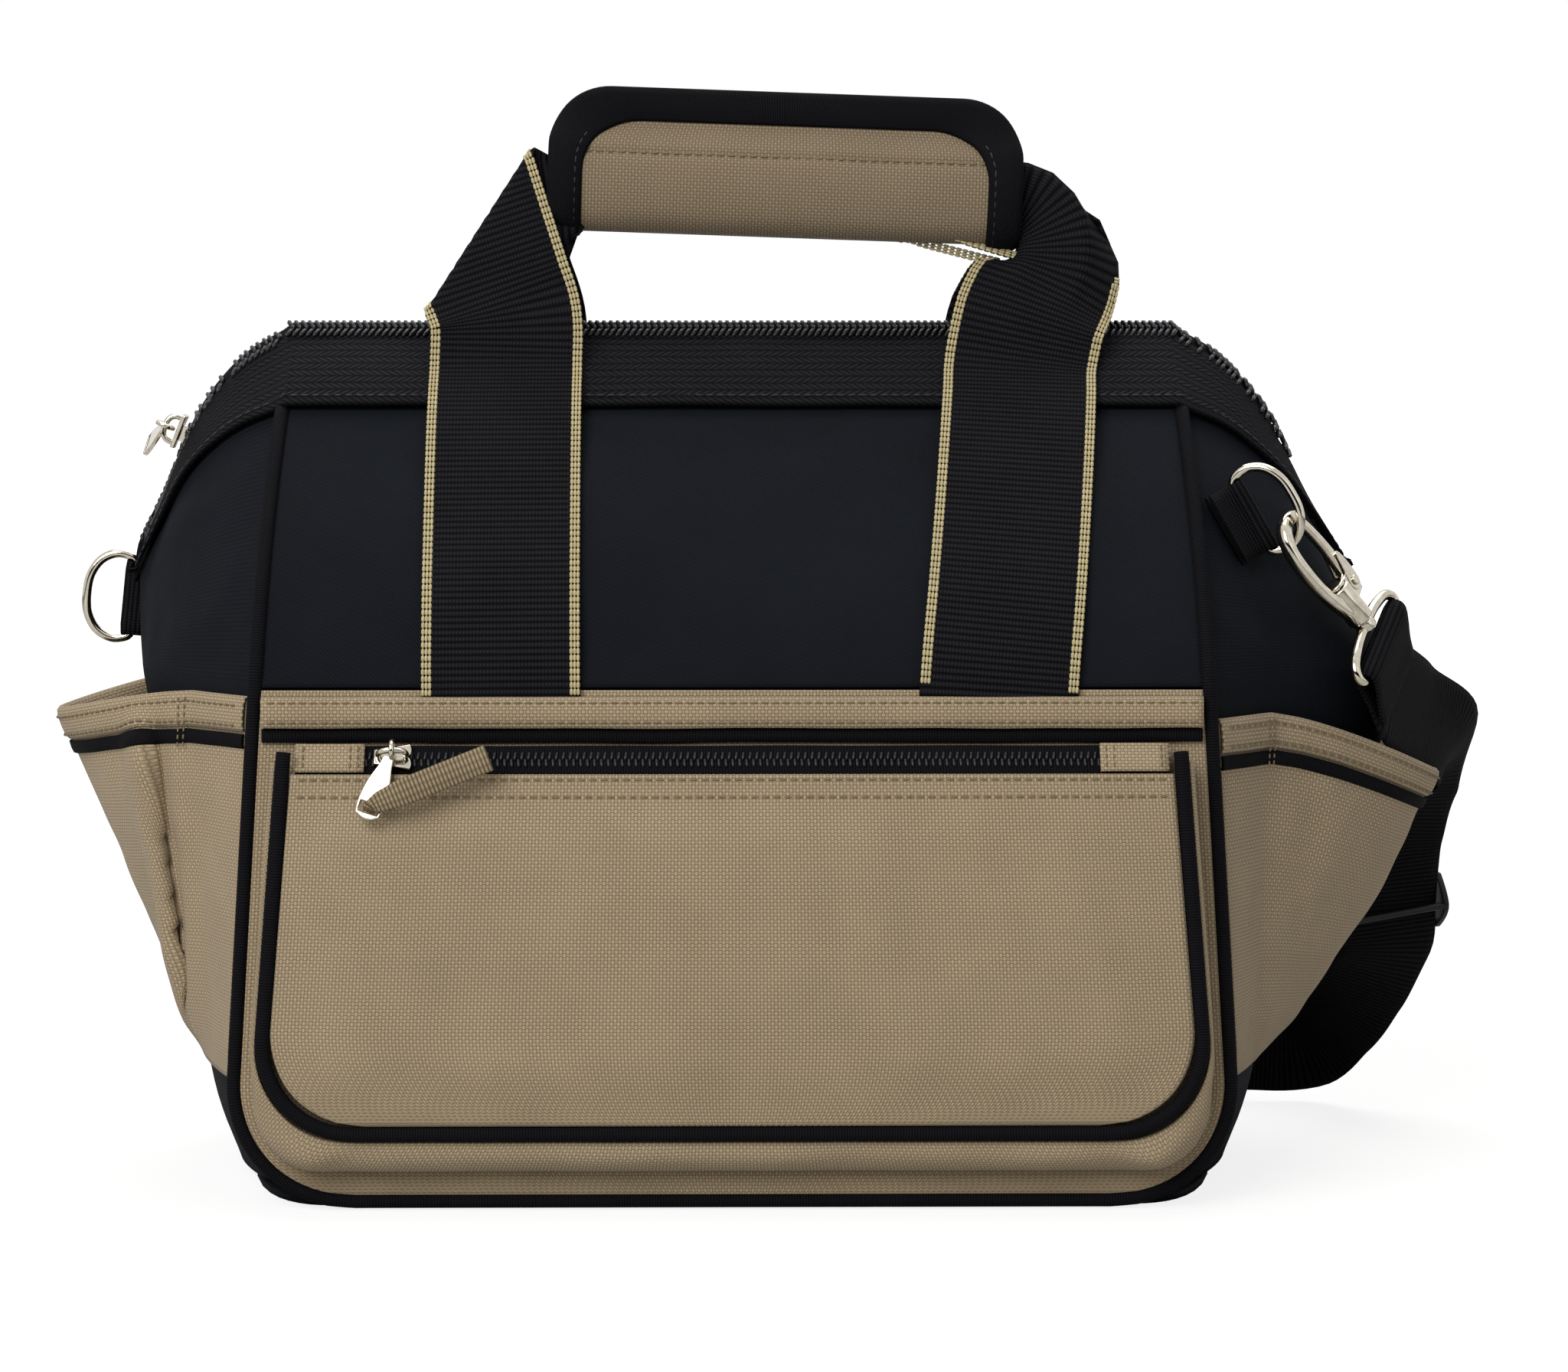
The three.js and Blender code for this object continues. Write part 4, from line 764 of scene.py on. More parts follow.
# folded tape edges that close the mouth under the coil
foldLine = [(4.0, -2.5), (2.6, 0.2), (0, 1.0), (-2.6, 0.2), (-4.0, -2.5)]
rows = [[] for k in foldLine]
for w in spread(*mouthSet["ends"], 190):
    near, far = mouthPlace(-1, w, 1), mouthPlace(1, w, 1)
    run = (mouthPlace(-1, w + 0.004, 1) - near).normalized()
    rise = (near - mouthPlace(-1, w, 0.9) + far - mouthPlace(1, w, 0.9)).normalized()
    across = run.cross(rise).normalized()
    across *= 1 if across.y < 0 else -1
    for row, (out, up) in zip(rows, foldLine):
        row.append((near + far) / 2 + across * out + rise * up)
joinUp(clothSheet("mouth_zip_fold", rows, 0.8, "blackTape", Vector((0, 0, 1))), [])
print("mouth made")


# front zip pocket
pocketSet = {"y": -108, "topZ": 146, "faceTop": 142, "bottomZ": 24, "halfTop": 145, "halfLow": 152.5, "radius": 30,
             "bulge": 3.2, "dents": 2.2, "cord": 2.4, "inset": 5.15, "cloth": 1.4, "gusset": 1.0,
             "stitchRows": (140.3, 134.8), "stitchPitch": 3.5}


def pocketHalf(inset, z):
    s = pocketSet
    return uHalf(s["halfTop"] - inset, s["topZ"], s["halfLow"] - inset, s["bottomZ"] + inset, s["radius"], z)


def pocketFace(f, z):
    half = pocketHalf(pocketSet["inset"], z)
    p = Vector((f * half, pocketSet["y"] - 0.7, z))
    hold = ease(abs(f), 1.0, 0.8) * ease(z, 29, 52) * ease(z, pocketSet["faceTop"], 118)
    lean = Vector((p.x + 0.3 * z, 0, 0.6 * z - 0.25 * p.x))
    dents = ripple(lean, 52, 2.2) + 0.45 * ripple(lean, 21, 7.1)
    corner = math.sin((abs(p.x) * 0.8 + z) / 7.5) * ease(abs(p.x), 100, 138) * ease(z, 70, 36) * ease(z, 29, 38)
    p.y -= hold * (pocketSet["bulge"] + pocketSet["dents"] * dents) + 0.6 * corner
    return p


s = pocketSet
heights = spread(s["bottomZ"] + s["inset"], s["faceTop"], 90)
faceRows = [[pocketFace(f, z) for f in spread(-1, 1, 150)] for z in heights]
piece = clothSheet("pocket_face_cloth", faceRows, s["cloth"], "tanCanvas", Vector((0, -1, 0)))
joinUp(piece, ["front_pocket_face"])

# the gusset joins the wide line on the bag to the narrower face, with small tucks at its lower corners
inner = uPath(s["halfTop"], s["topZ"], s["halfLow"], s["bottomZ"], s["radius"], 3)
outer = uPath(s["halfTop"], s["topZ"], 154, 12.5, 22, 3)
outer = evenPoints(outer, lengths(outer)[-1] / (len(inner) - 1))
gussetRows = []
for v in spread(0, 1, 12):
    row = []
    for a, b in zip(outer, inner):
        p = a.lerp(b, v) + Vector((0, mix(-95.3, -107.6, v ** 0.3), 0))
        low = ease(p.z, 60, 25)
        tuck = math.sin(abs(p.x) / 5.2 + 1.5 * v) * ease(abs(p.x), 105, 140) * low
        p += Vector((math.copysign(1.6, p.x) * (1 - low), -1.2, 0)) * math.sin(math.pi * v)
        p += Vector((0, -1, -0.6)) * (math.sin(math.pi * v) * (1.7 * tuck + 1.2 * low * (0.5 + ripple(p, 30, 9.4))))
        row.append(p)
    gussetRows.append(row)
piece = clothSheet("pocket_gusset_cloth", gussetRows, s["gusset"], "tanCanvas", Vector((0, -0.6, -1)))
joinUp(piece, ["front_pocket_gusset"])

cord, cordTop = s["cord"], s["topZ"] + 3
cordLine = uPath(pocketHalf(cord, cordTop), cordTop, s["halfLow"] - cord, s["bottomZ"] + cord, s["radius"], 3)
cordLine = [p + Vector((0, s["y"] + 0.2 * ripple(p, 15, 3.3), 0)) for p in cordLine]
joinUp(tube("pocket_seam_piping", cordLine, cord, 14, "blackTape"), ["front_pocket_piping"])

# the pocket's zip lies on the slope over its face
zipSet = {"half": 139, "tape": 10.6, "pitch": 2.2, "teeth": 126, "tabFrom": 117, "tab": 10.1}
zipAcross = Vector((0, 0.5525, 0.8335))
zipFacing = Vector((0, -0.8335, 0.5525))
zipMiddle = Vector((0, -102.55, 145.95))


def zipStrip(name, fromX, toX, width, thick, lift, look):
    rings = []
    for x in spread(fromX, toX, max(2, int(abs(toX - fromX) / 3))):
        middle = zipMiddle + zipFacing * (lift + 0.12 * math.sin(x / 9)) + Vector((x, 0, 0))
        half = width / 2
        section = [(-half, -0.5), (half, -0.5), (half, 0.2), (half - 0.4, 0.5), (0.4 - half, 0.5), (-half, 0.2)]
        rings.append([middle + zipAcross * a + zipFacing * (b * thick) for a, b in section])
    return sweep(name, rings, look)


piece = zipStrip("pocket_zip_tape", -zipSet["half"], zipSet["half"], zipSet["tape"], 1.0, -0.2, "blackTape")
joinUp(piece, ["front_pocket_zip"])
teeth = []
for k in range(zipSet["teeth"]):
    x = 1 - zipSet["half"] + zipSet["pitch"] * k
    for side in (-1, 1):
        middle = zipMiddle + Vector((x + 0.55 * side, 0, 0)) + zipAcross * (1.25 * side) + zipFacing * 0.5
        teeth.append((middle, zipAcross + Vector((0.12 * side, 0, 0)), zipFacing, 3.4, 1.15, 1.2))
joinUp(beads("pocket_zip_coil", teeth, "coil"), [])
for name, side in (("left", -1), ("right", 1)):
    near, far = side * zipSet["tabFrom"], side * zipSet["half"]
    piece = zipStrip("zip_tab_" + name, near, far, zipSet["tab"], 1.1, 1.7, "tanCanvas")
    joinUp(piece, ["zip_end_tab_" + name])
    lines = []
    for x in (119, 121.5, 136.5):
        ends = [zipMiddle + zipFacing * 2.25 + zipAcross * a + Vector((side * x, 0, 0)) for a in spread(-4.4, 4.4, 4)]
        lines += stitchPlaces(ends, [zipFacing] * 4, 2.9)
    joinUp(beads("zip_tab_stitches_" + name, lines, "tanThread"), [])

rows = []
for z in s["stitchRows"]:
    line = [pocketFace(f, z) for f in spread(-0.985, 0.985, 160)]
    rows += stitchPlaces(line, [Vector((0, -1, 0))] * 160, s["stitchPitch"])
joinUp(beads("pocket_face_stitches", rows, "tanThread"), [])
print("front pocket made")


# bindings and ribbons across the front and back
bandSet = {"half": 150.4, "near": 95.3, "binding": (155.75, 165.75, 99.1, 0.9), "ribbon": (151, 155.4, 96.6, 0.4),
           "stitchRows": (164.0, 157.6), "stitchPitch": 3.4, "wave": 0.35}


def bandWave(front, x, z):
    return bandSet["wave"] * ripple(Vector((x, front * 97, z)), 24, 4.4)


# each band has its lower and upper edge, its depth and how far its corners are rounded
for name, front in (("front", -1), ("back", 1)):
    for part, look, slot, node in (("binding", "tanCanvas", "tan_canvas", "_top_binding"),
                                   ("ribbon", "blackTape", "black_webbing", "_ribbon")):
        low, high, far, soft = bandSet[part]
        near = bandSet["near"]
        rings = []
        for x in spread(-bandSet["half"], bandSet["half"], 110):
            wave = bandWave(front, x, low)
            section = [(near, low), (near, high), (far - soft, high + wave), (far + wave, high - soft),
                       (far + 0.35 + wave, (low + high) / 2), (far + wave, low + soft), (far - soft, low + wave)]
            rings.append([Vector((x, front * y, z)) for y, z in section])
        joinUp(sweep(name + "_top_" + part + "_tape", rings, look), [name + node])
    rows = []
    low, high, far, soft = bandSet["binding"]
    for z in bandSet["stitchRows"]:
        line = [Vector((x, front * (far + 0.1 + bandWave(front, x, low)), z)) for x in spread(-149, 149, 140)]
        rows += stitchPlaces(line, [Vector((0, front, 0))] * 140, bandSet["stitchPitch"])
    joinUp(beads(name + "_binding_stitches", rows, "tanThread"), [])
print("bindings made")


# end pockets: flat near the seams, flared open and sagging in the middle
pouchSet = {"bottomZ": 42, "flatFrom": 0.72, "binding": 10, "ribbon": 4.8, "slack": 1.7, "stitchPitch": 3.4,
            "crease": 4.6, "creaseWide": 0.055, "ridge": 3.2, "ridgeWide": 0.15, "foldAt": 0.6, "foldLean": 0.1,
            "over": 6, "overAt": 0.545, "overWide": 0.045}
# side, height, flare and droop of the rim, how full the wall is, depth of its fold, place of the bar tack
pouches = {"left": (-1, 164, 29, 10, 0.95, 1, 0.69), "right": (1, 156.5, 22, 24, 0.7, 0.12, 0.74)}
for name, (side, topZ, flare, droop, full, folded, tack) in pouches.items():
    deep = topZ - pouchSet["bottomZ"]

    def swell(u):
        return max(0, 1 - (u / pouchSet["flatFrom"]) ** 2)

    def overlap(u, v, folded=folded):
        place = (abs(u) - pouchSet["overAt"] + pouchSet["foldLean"] * (1 - v)) / pouchSet["overWide"]
        return folded * math.exp(-place ** 2) * ease(v, 0.02, 0.3) * ease(v, 1.0, 0.84)

    def pouch(u, v, side=side, topZ=topZ, flare=flare, droop=droop, full=full):
        rim = topZ - droop * swell(u) ** 1.6
        p = endLow(side, u, mix(pouchSet["bottomZ"], rim, v))
        low = endLow(side, u, pouchSet["bottomZ"]).x
        high = endLow(side, u, rim).x + side * flare * swell(u) ** 1.2
        wall = mix(low, high, max(v, 0) ** full)
        p.x = mix(p.x, wall, ease(swell(u), 0, 0.25))
        # the swollen wall folds over the flat strip beside the seam
        p.y += math.copysign(pouchSet["over"] * overlap(u, v), u)
        return p

    def sag(u, v, p, side=side, folded=folded):
        hold = ease(abs(u), 0.96, 0.8) * ease(v, 0.0, 0.12)
        line = -pouchSet["foldAt"] + pouchSet["foldLean"] * (1 - v)
        narrow, broad = pouchSet["creaseWide"], pouchSet["ridgeWide"]
        crease = math.exp(-((u - line) / narrow) ** 2) + 0.7 * math.exp(-((u + line) / narrow) ** 2)
        second = 0.6 * math.exp(-((u + 0.34 + 0.12 * v) / 0.05) ** 2) * ease(v, 0.75, 0.4)
        swollen = math.exp(-((u - line) / broad) ** 2) + 0.7 * math.exp(-((u + line) / broad) ** 2)
        soft = pouchSet["slack"] * (ripple(p, 33, 2.9 + side) + 0.5 * ripple(p, 15, 6.6)) * ease(v, 1.0, 0.85)
        fold = pouchSet["crease"] * crease * ease(v, 0.05, 0.5) - pouchSet["ridge"] * swollen
        fold = folded * (fold * ease(v, 1.02, 0.86) + 1.6 * second) - 2 * overlap(u, v)
        return hold * max(-1.0, soft - fold)

    us = spread(-0.985, 0.985, 190)

    def raised(v, lift, places=us):
        spots = [(u, pouch(u, v)) for u in places]
        return [p + outward(pouch, u, v) * (lift + sag(u, min(v, 1), p)) for u, p in spots]

    piece = patch(name + "_pouch_cloth", pouch, us, spread(0, 1, 56), 1.9, 1.2, "tanCanvas", sag)
    joinUp(piece, [name + "_pocket"])

    # the binding's section: share of the wall's height, and distance out from it
    edge = pouchSet["binding"] / deep
    turns = [(1 - edge, -0.4), (1 - 0.5 * edge, -0.5), (1, -0.4), (1.008, 0.5), (1.012, 1.6), (1.006, 2.8), (0.99, 3.4),
             (1 - 0.5 * edge, 3.6), (1 - edge + 0.012, 3.4), (1 - edge, 2.6)]
    rows = [raised(v, lift) for v, lift in turns]
    piece = clothSheet(name + "_pouch_edge", rows, 0.7, "tanCanvas", Vector((side, 0, 0)), True)
    joinUp(piece, [name + "_pocket_binding"])
    low = 1 - edge - 0.006 - pouchSet["ribbon"] / deep
    rows = [raised(v, lift) for v, lift in
            [(low, 2.2), (low + 0.005, 3.0), (low + 0.5 * pouchSet["ribbon"] / deep, 3.2), (1 - edge - 0.006, 3.0)]]
    piece = clothSheet(name + "_pouch_ribbon", rows, 0.8, "blackTape", Vector((side, 0, 0)), True)
    joinUp(piece, [name + "_pocket_ribbon"])

    lines = []
    fine = spread(-0.955, 0.955, 170)
    for drop in (1.7, 8.2):
        v = 1 - drop / deep
        normals = [outward(pouch, u, v) for u in fine]
        lines += stitchPlaces(raised(v, 3.7, fine), normals, pouchSet["stitchPitch"])
    for u in (-tack, 0.025 - tack):
        heights = spread(1.0, 0.86, 14)
        normals = [outward(pouch, u, v) for v in heights]
        lines += stitchPlaces([raised(v, 3.7 if v > 1 - edge else 3.3, [u])[0] for v in heights], normals, 2.2)
    joinUp(beads(name + "_pouch_stitches", lines, "tanThread"), [])
print("end pockets made")


# webbing along stations; wings of the section can fold back
def strapRoute(stations, step):
    points = [Vector(s[0]) for s in stations]
    ends = withEnds(points)
    out = []
    for i in range(len(points) - 1):
        count = max(2, round((points[i + 1] - points[i]).length / step))
        for k in range(count + (i == len(points) - 2)):
            share = k / count
            bend = ease(share, 0, 1)
            across = Vector(stations[i][1]).lerp(Vector(stations[i + 1][1]), bend)
            extra = [mix(a, b, bend) for a, b in zip(stations[i][2:], stations[i + 1][2:])]
            out.append((catmull(*ends[i:i + 4], share), across, *extra))
    return out


def strapFrames(route):
    ways = tangents([r[0] for r in route])
    frames = []
    for (place, across, *extra), way in zip(route, ways):
        side = (across - way * across.dot(way)).normalized()
        frames.append((place, way, side, way.cross(side), *extra))
    return frames


# a point of the folded section: d runs across the flat webbing, the wings turn by their own angles
def foldedPoint(d, flatHalf, turnLow, turnHigh):
    turn = turnHigh if d > 0 else turnLow
    beyond = abs(d) - flatHalf
    if beyond <= 0 or turn < 1e-4:
        return math.copysign(1, d) * abs(d), 0.0, 0.0
    radius = 2.2  # of the fold between the flat middle and a wing
    bent = min(beyond / radius, turn)
    rest = beyond - bent * radius
    a = flatHalf + radius * math.sin(bent) + rest * math.cos(bent)
    b = radius * (1 - math.cos(bent)) + rest * math.sin(bent)
    return math.copysign(1, d) * a, b, math.copysign(1, d) * bent


def strapRings(frames, width, thick, flatHalf, outSign, columns=19):
    rings = []
    for place, way, side, normal, turnLow, turnHigh in frames:
        out = normal * outSign
        upper, lower = [], []
        for k in range(columns):
            d = mix(-width / 2, width / 2, k / (columns - 1))
            a, b, lean = foldedPoint(d, flatHalf, turnLow, turnHigh)
            face = out * math.cos(lean) + side * math.sin(lean)
            half = thick / 2 * (0.55 if k in (0, columns - 1) else 1)
            middle = place + side * a - out * b
            upper.append(middle + face * half)
            lower.append(middle - face * half)
        rings.append(upper + lower[::-1])
    return rings


# handles with pale chain-woven edges
handleSet = {"width": 50.8, "thick": 1.9, "flatHalf": 9.5, "columns": 31, "sewnY": 96.5, "sewnZ": (157.5, 164),
             "lift": (1.7, 5.2), "funnel": 6, "funnelStep": 3, "chainPitch": 2.2, "yarn": 1.1, "chainIn": 1.7,
             "chainFrom": 164, "chainTo": 305, "chainPastFold": 4}
legRows = [0.08, 0.25, 0.42, 0.58, 0.7, 0.78, 0.86]  # shares of the way up the black face


def legStations(front, lowX, highX, across):
    out = [(Vector((lowX, front * handleSet["sewnY"], z)), across, 0, 0) for z in handleSet["sewnZ"]]
    for s in legRows:
        x = mix(lowX, highX, s)

        def face(f, share):
            return faceHigh(front, f, share)

        f = x / shellSet["halfHigh"]
        p = face(f, s) + outward(face, f, s) * mix(*handleSet["lift"], ease(s, 0.4, 0.75))
        out.append((Vector((x, p.y, p.z)), across, 0, 0))
    return out


# the left leg is turned over on a slant and runs into the grip behind its own face;
# along and across the leg, the fold starts at "low" and goes on in the direction "slope"
foldSet = {"start": (-79, 16, 297), "lean": 0.33, "inward": 0.25, "low": (8.1, -11.1), "slope": (0.639, 0.769),
           "bend": 1.7, "run": 43}


def foldAxes(f):
    way = Vector((-foldSet["lean"], -foldSet["inward"] * f, 1)).normalized()
    side = Vector((1, 0, foldSet["lean"])).normalized()
    x, y, z = foldSet["start"]
    return Vector((x, y * f, z)), way, side, way.cross(side) * f


def pastFold(p, f):
    start, way, side = foldAxes(f)[:3]
    slope, low = foldSet["slope"], foldSet["low"]
    return ((p - start).dot(way) - low[0]) * slope[1] - ((p - start).dot(side) - low[1]) * slope[0]


# a point of the flat leg, rolled over the fold if it lies past it
def turnOver(p, f):
    start, way, side, out = foldAxes(f)
    slope, bend, past = foldSet["slope"], foldSet["bend"], pastFold(p, f)
    if past <= 0:
        return p
    high, turn = (p - start).dot(out), min(past / bend, math.pi)
    flat = (bend + high) * math.sin(turn) - max(0, past - math.pi * bend)
    depth = (bend + high) * math.cos(turn) - bend
    return p + (way * slope[1] - side * slope[0]) * (flat - past) + out * (depth - high)


# the middle of the pale edge along one side of the webbing, and the way its face looks
def chainLine(frames, f, d):
    line, faces = [], []
    low, high, past = handleSet["chainFrom"], handleSet["chainTo"], handleSet["chainPastFold"]
    for place, way, side, normal, turnLow, turnHigh in frames:
        edge = d * (handleSet["width"] / 2 - handleSet["chainIn"])
        a, b, lean = foldedPoint(edge, handleSet["flatHalf"], turnLow, turnHigh)
        face = normal * f * math.cos(lean) + side * math.sin(lean)
        spot = place + side * a - normal * f * b
        # on the left the pale edge ends just behind the fold, on the right where the webbing is gathered
        if place.z > low and place.x < 0 and pastFold(spot, f) < past:
            line.append(turnOver(spot + face * 0.9, f))
            faces.append(turnOver(spot + face, f) - turnOver(spot, f))
        elif low < place.z < high and place.x > 0:
            line.append(spot + face * 0.9)
            faces.append(face)
    return line, faces


# f is -1 in front and 1 behind
for name, f in (("front", -1), ("back", 1)):
    start, way, side = foldAxes(f)[:3]
    left = legStations(f, -74, -75.5, Vector((1, 0, 0))) + [((-75.5, 20 * f, 286), (1, 0, 0), 0, 0)]
    left += [(start + way * run, side, 0, 0) for run in (0, 14, 28, foldSet["run"])]
    top = [
        ((-46, 6 * f, 331.5), (0.04, 0, -1), 2.95, 2.8),
        ((18, 6 * f, 329.5), (-0.03, 0, -1), 2.95, 2.95), ((86, 6 * f, 327), (-0.08, 0, -1), 2.9, 2.8),
        ((101, 6.4 * f, 324.5), (-0.45, 0, -0.89), 2.4, 2.6), ((107.5, 8.6 * f, 316), (-0.82, 0, -0.57), 1.3, 1.9),
        ((108, 12.5 * f, 304.5), (-0.96, 0, -0.25), 0.7, 0.9), ((103, 16 * f, 294), (-1, 0, 0.02), 0.2, 0.2),
        ((99.5, 20 * f, 286), (-1, 0, 0.04), 0, 0),
    ]
    leftFrames = strapFrames(strapRoute(left, 2.2))
    rightFrames = strapFrames(strapRoute(top + legStations(f, 85, 98, Vector((-1, 0, 0)))[::-1], 4.5))
    sizes = (handleSet["width"], handleSet["thick"], handleSet["flatHalf"], f, handleSet["columns"])
    leftRings = [[turnOver(p, f) for p in ring] for ring in strapRings(leftFrames, *sizes)]
    half = handleSet["columns"]
    rightRings = [ring[half:] + ring[:half] for ring in strapRings(rightFrames, *sizes)]
    # a few rings lead from the turned end of the left leg into the gathered webbing in the grip
    steps, step = range(1, handleSet["funnel"] + 1), handleSet["funnelStep"]
    shares = [ease(k, 0, handleSet["funnel"] + 1) for k in steps]
    funnel = [[a.lerp(b, share) for a, b in zip(leftRings[-1], rightRings[0])] for share in shares]
    at = lengths([r[0] for r in leftFrames])
    at += [at[-1] + step * k for k in steps]
    at += [at[-1] + step + d for d in lengths([r[0] for r in rightFrames])]
    piece = sweep(name + "_handle_web", leftRings + funnel + rightRings, "handleWeb", route=at)
    joinUp(piece, [name + "_handle_strap"])
    chain = []
    for d, frames in ((-1, leftFrames), (1, leftFrames), (-1, rightFrames), (1, rightFrames)):
        links = stitchPlaces(*chainLine(frames, f, d), handleSet["chainPitch"], 0.98, handleSet["yarn"], 0.9)
        for middle, way, normal, long, wide, high in links:
            across = way.cross(normal).normalized()
            chain += [(middle + across * (k * wide), way, normal, long, wide, high) for k in (-1, 0, 1)]
    joinUp(beads(name + "_handle_chain", chain, "edgeThread"), [])
print("handles made")


# grip wrap: two halves of doubled canvas with bound edges; the front half opens
gripSet = {"middle": Vector((18, 0, 336.5)), "tilt": 0.035, "half": 78, "radius": 20, "wall": 2.2, "edge": 9.5,
           "seam": 34, "tapeHalf": 59}
gripAlong = Vector((math.cos(gripSet["tilt"]), 0, -math.sin(gripSet["tilt"])))
gripUp = Vector((math.sin(gripSet["tilt"]), 0, math.cos(gripSet["tilt"])))
# depth and height of the wrap's section, from the bottom fold up to the top edge
gripShape = [(0.6, -23.5), (6, -22.4), (10.5, -18.3), (13, -10), (12.8, -1), (10, 6.5), (6.3, 11.5), (4.7, 16),
             (4.7, 23.5)]
gripLine = curveThrough([(d, 0, h) for d, h in gripShape], 0.7)
gripWays = tangents(gripLine)
gripLong = lengths(gripLine)[-1]


# x along the grip, t up its section, off out from the cloth's face
def gripPoint(front, x, t, off):
    i = clamp(t / gripLong) * (len(gripLine) - 1)
    k = min(int(i), len(gripLine) - 2)
    p = gripLine[k].lerp(gripLine[k + 1], i - k)
    way = gripWays[k].lerp(gripWays[k + 1], i - k)
    beyond = max(0, t - gripLong)
    depth, height = p.x + way.z * off, p.z - way.x * off + beyond
    return gripSet["middle"] + gripAlong * x + Vector((0, front * depth, 0)) + gripUp * height


def gripHalf(inset, t):
    top = gripLong - inset
    over = t - (top - gripSet["radius"])
    half = gripSet["half"] - inset
    if over <= 0:
        return half
    return half - gripSet["radius"] + math.sqrt(max(0, gripSet["radius"] ** 2 - min(over, gripSet["radius"]) ** 2))


for name, front, body in (("front", -1, "grip_flap"), ("back", 1, "bag")):
    rows = []
    for t in spread(0, gripLong - 1.3, 60):
        half = gripHalf(1.2, t)
        row = []
        for f in spread(-1, 1, 90):
            p = gripPoint(front, f * half, t, 0)
            soft = 0.5 * ripple(p, 26, 2.5 + front) * ease(t, 0, 8) * ease(t, gripLong - 8, gripLong - 20)
            seam = -0.9 * math.exp(-((t - gripSet["seam"]) / 1.3) ** 2)
            row.append(gripPoint(front, f * half, t, soft + seam))
        rows.append(row)
    # the grip's canvas is the darker copy of the tan canvas: painted shade on the wrap
    piece = clothSheet("grip_" + name + "_cloth", rows, gripSet["wall"], "gripShadedCanvas", Vector((0, front, 0)))
    joinUp(piece, ["grip_" + name + "_wrap"], body)

    # the bound edge runs up one end, over the top and down the other end
    path = []
    rise, reach = gripLong - gripSet["radius"], gripSet["half"] - gripSet["radius"]
    for t in spread(0, rise, 24):
        path.append((-gripSet["half"], t, Vector((1, -t / rise))))
    for a in spread(0, math.pi / 2, 16)[1:]:
        path.append((-reach - gripSet["radius"] * math.cos(a), rise + gripSet["radius"] * math.sin(a), Vector((1, -1))))
    path += [(x, gripLong, Vector((-x / reach, -1))) for x in spread(-reach, reach, 40)[1:-1]]
    path += [(-x, t, Vector((-n.x, n.y))) for x, t, n in reversed(path[:39])]
    section = [(gripSet["edge"], 0.2), (gripSet["edge"] - 0.6, 1.3), (4, 1.5), (0.6, 1.3), (-0.9, 0.2), (-1.2, -1.2),
               (-0.9, -2.4), (0.5, -2.9), (4, -3.0), (gripSet["edge"], -2.9)]
    rows = [[gripPoint(front, x + n.x * i, t + n.y * i, off) for x, t, n in path] for i, off in section]
    piece = clothSheet("grip_" + name + "_edge", rows, 0.5, "blackTape", Vector((0, front, 0)), True)
    joinUp(piece, ["grip_" + name + "_binding"], body)
    line = [gripPoint(front, x, gripSet["seam"], -0.5) for x in spread(-68, 68, 60)]
    marks = stitchPlaces(line, [Vector((0, front * 0.8, 0.6))] * 60, 3.6)
    joinUp(beads("grip_" + name + "_stitches", marks, "tanThread"), [], body)
    points = [gripPoint(front, x + n.x * 7.6, t + n.y * 7.6, 1.5) for x, t, n in path]
    normals = [(gripPoint(front, x, t, 1) - gripPoint(front, x, t, 0)).normalized() for x, t, n in path]
    marks = stitchPlaces(points, normals, 3.4)
    joinUp(beads("grip_" + name + "_edge_stitches", marks, "blackThread"), [], body)

    node = "grip_hook_tape" if front < 0 else "grip_loop_tape"
    rings = []
    for x in spread(-gripSet["tapeHalf"], gripSet["tapeHalf"], 40):
        middle = gripSet["middle"] + gripAlong * x + gripUp * 14.5 + Vector((0, front * 1.25, 0))
        box = [(-0.9, -5), (0.9, -5), (0.9, 5), (-0.9, 5)]
        rings.append([middle + Vector((0, d, 0)) + gripUp * h for d, h in box])
    joinUp(sweep(node + "_strip", rings, "fleece", smooth=False), [node], body)
print("grip made")


# hardware: wires and plates start as curves, get their bevel and are converted
def frameMatrix(x, y, origin):
    x, y = Vector(x).normalized(), Vector(y)
    z = x.cross(y).normalized()
    y = z.cross(x)
    return Matrix(((x.x, y.x, z.x, origin[0]), (x.y, y.y, z.y, origin[1]), (x.z, y.z, z.z, origin[2]), (0, 0, 0, 1)))


# each moving part's own x and y directions and its origin, as in the solid model
places = {
    "leftRing": frameMatrix((-0.1093, 0.0329, -0.9935), (-0.9937, -0.0302, 0.1083), (-205.2374, 11.6439, 190.8169)),
    "rightRing": frameMatrix((0.4897, -0.0825, -0.868), (0.8151, -0.31, 0.4894), (170.5803, -51.6729, 221.2217)),
    "hook": frameMatrix((0.2934, 0.7705, 0.5659), (-0.6177, -0.2989, 0.7273), (204.9059, -45.9243, 190.3523)),
    "farHook": frameMatrix((0, 0, 1), (-1, 0, 0), (-96.6, 138, 23)),
    "pocketSlider": frameMatrix((1, 0, 0), (0, 0.5525, 0.8335), (-108, -103.5085, 146.5854)),
    "pocketPull": frameMatrix((0.9439, -0.119, -0.308), (0.3302, 0.3402, 0.8805), (-108, -108.3427, 149.7901)),
    "topSlider": frameMatrix((0.3897, 0, 0.921), (0, 1, 0), (-186.5183, 0, 247.5415)),
    "topPull": frameMatrix((0.2431, 0.4393, 0.8648), (0.3814, -0.8631, 0.3312), (-191.8599, 0, 249.8015)),
    "adjuster": frameMatrix((-0.9457, -0.3018, -0.1207), (0.0398, 0.2612, -0.9645), (232, 54.5, 76)),
}


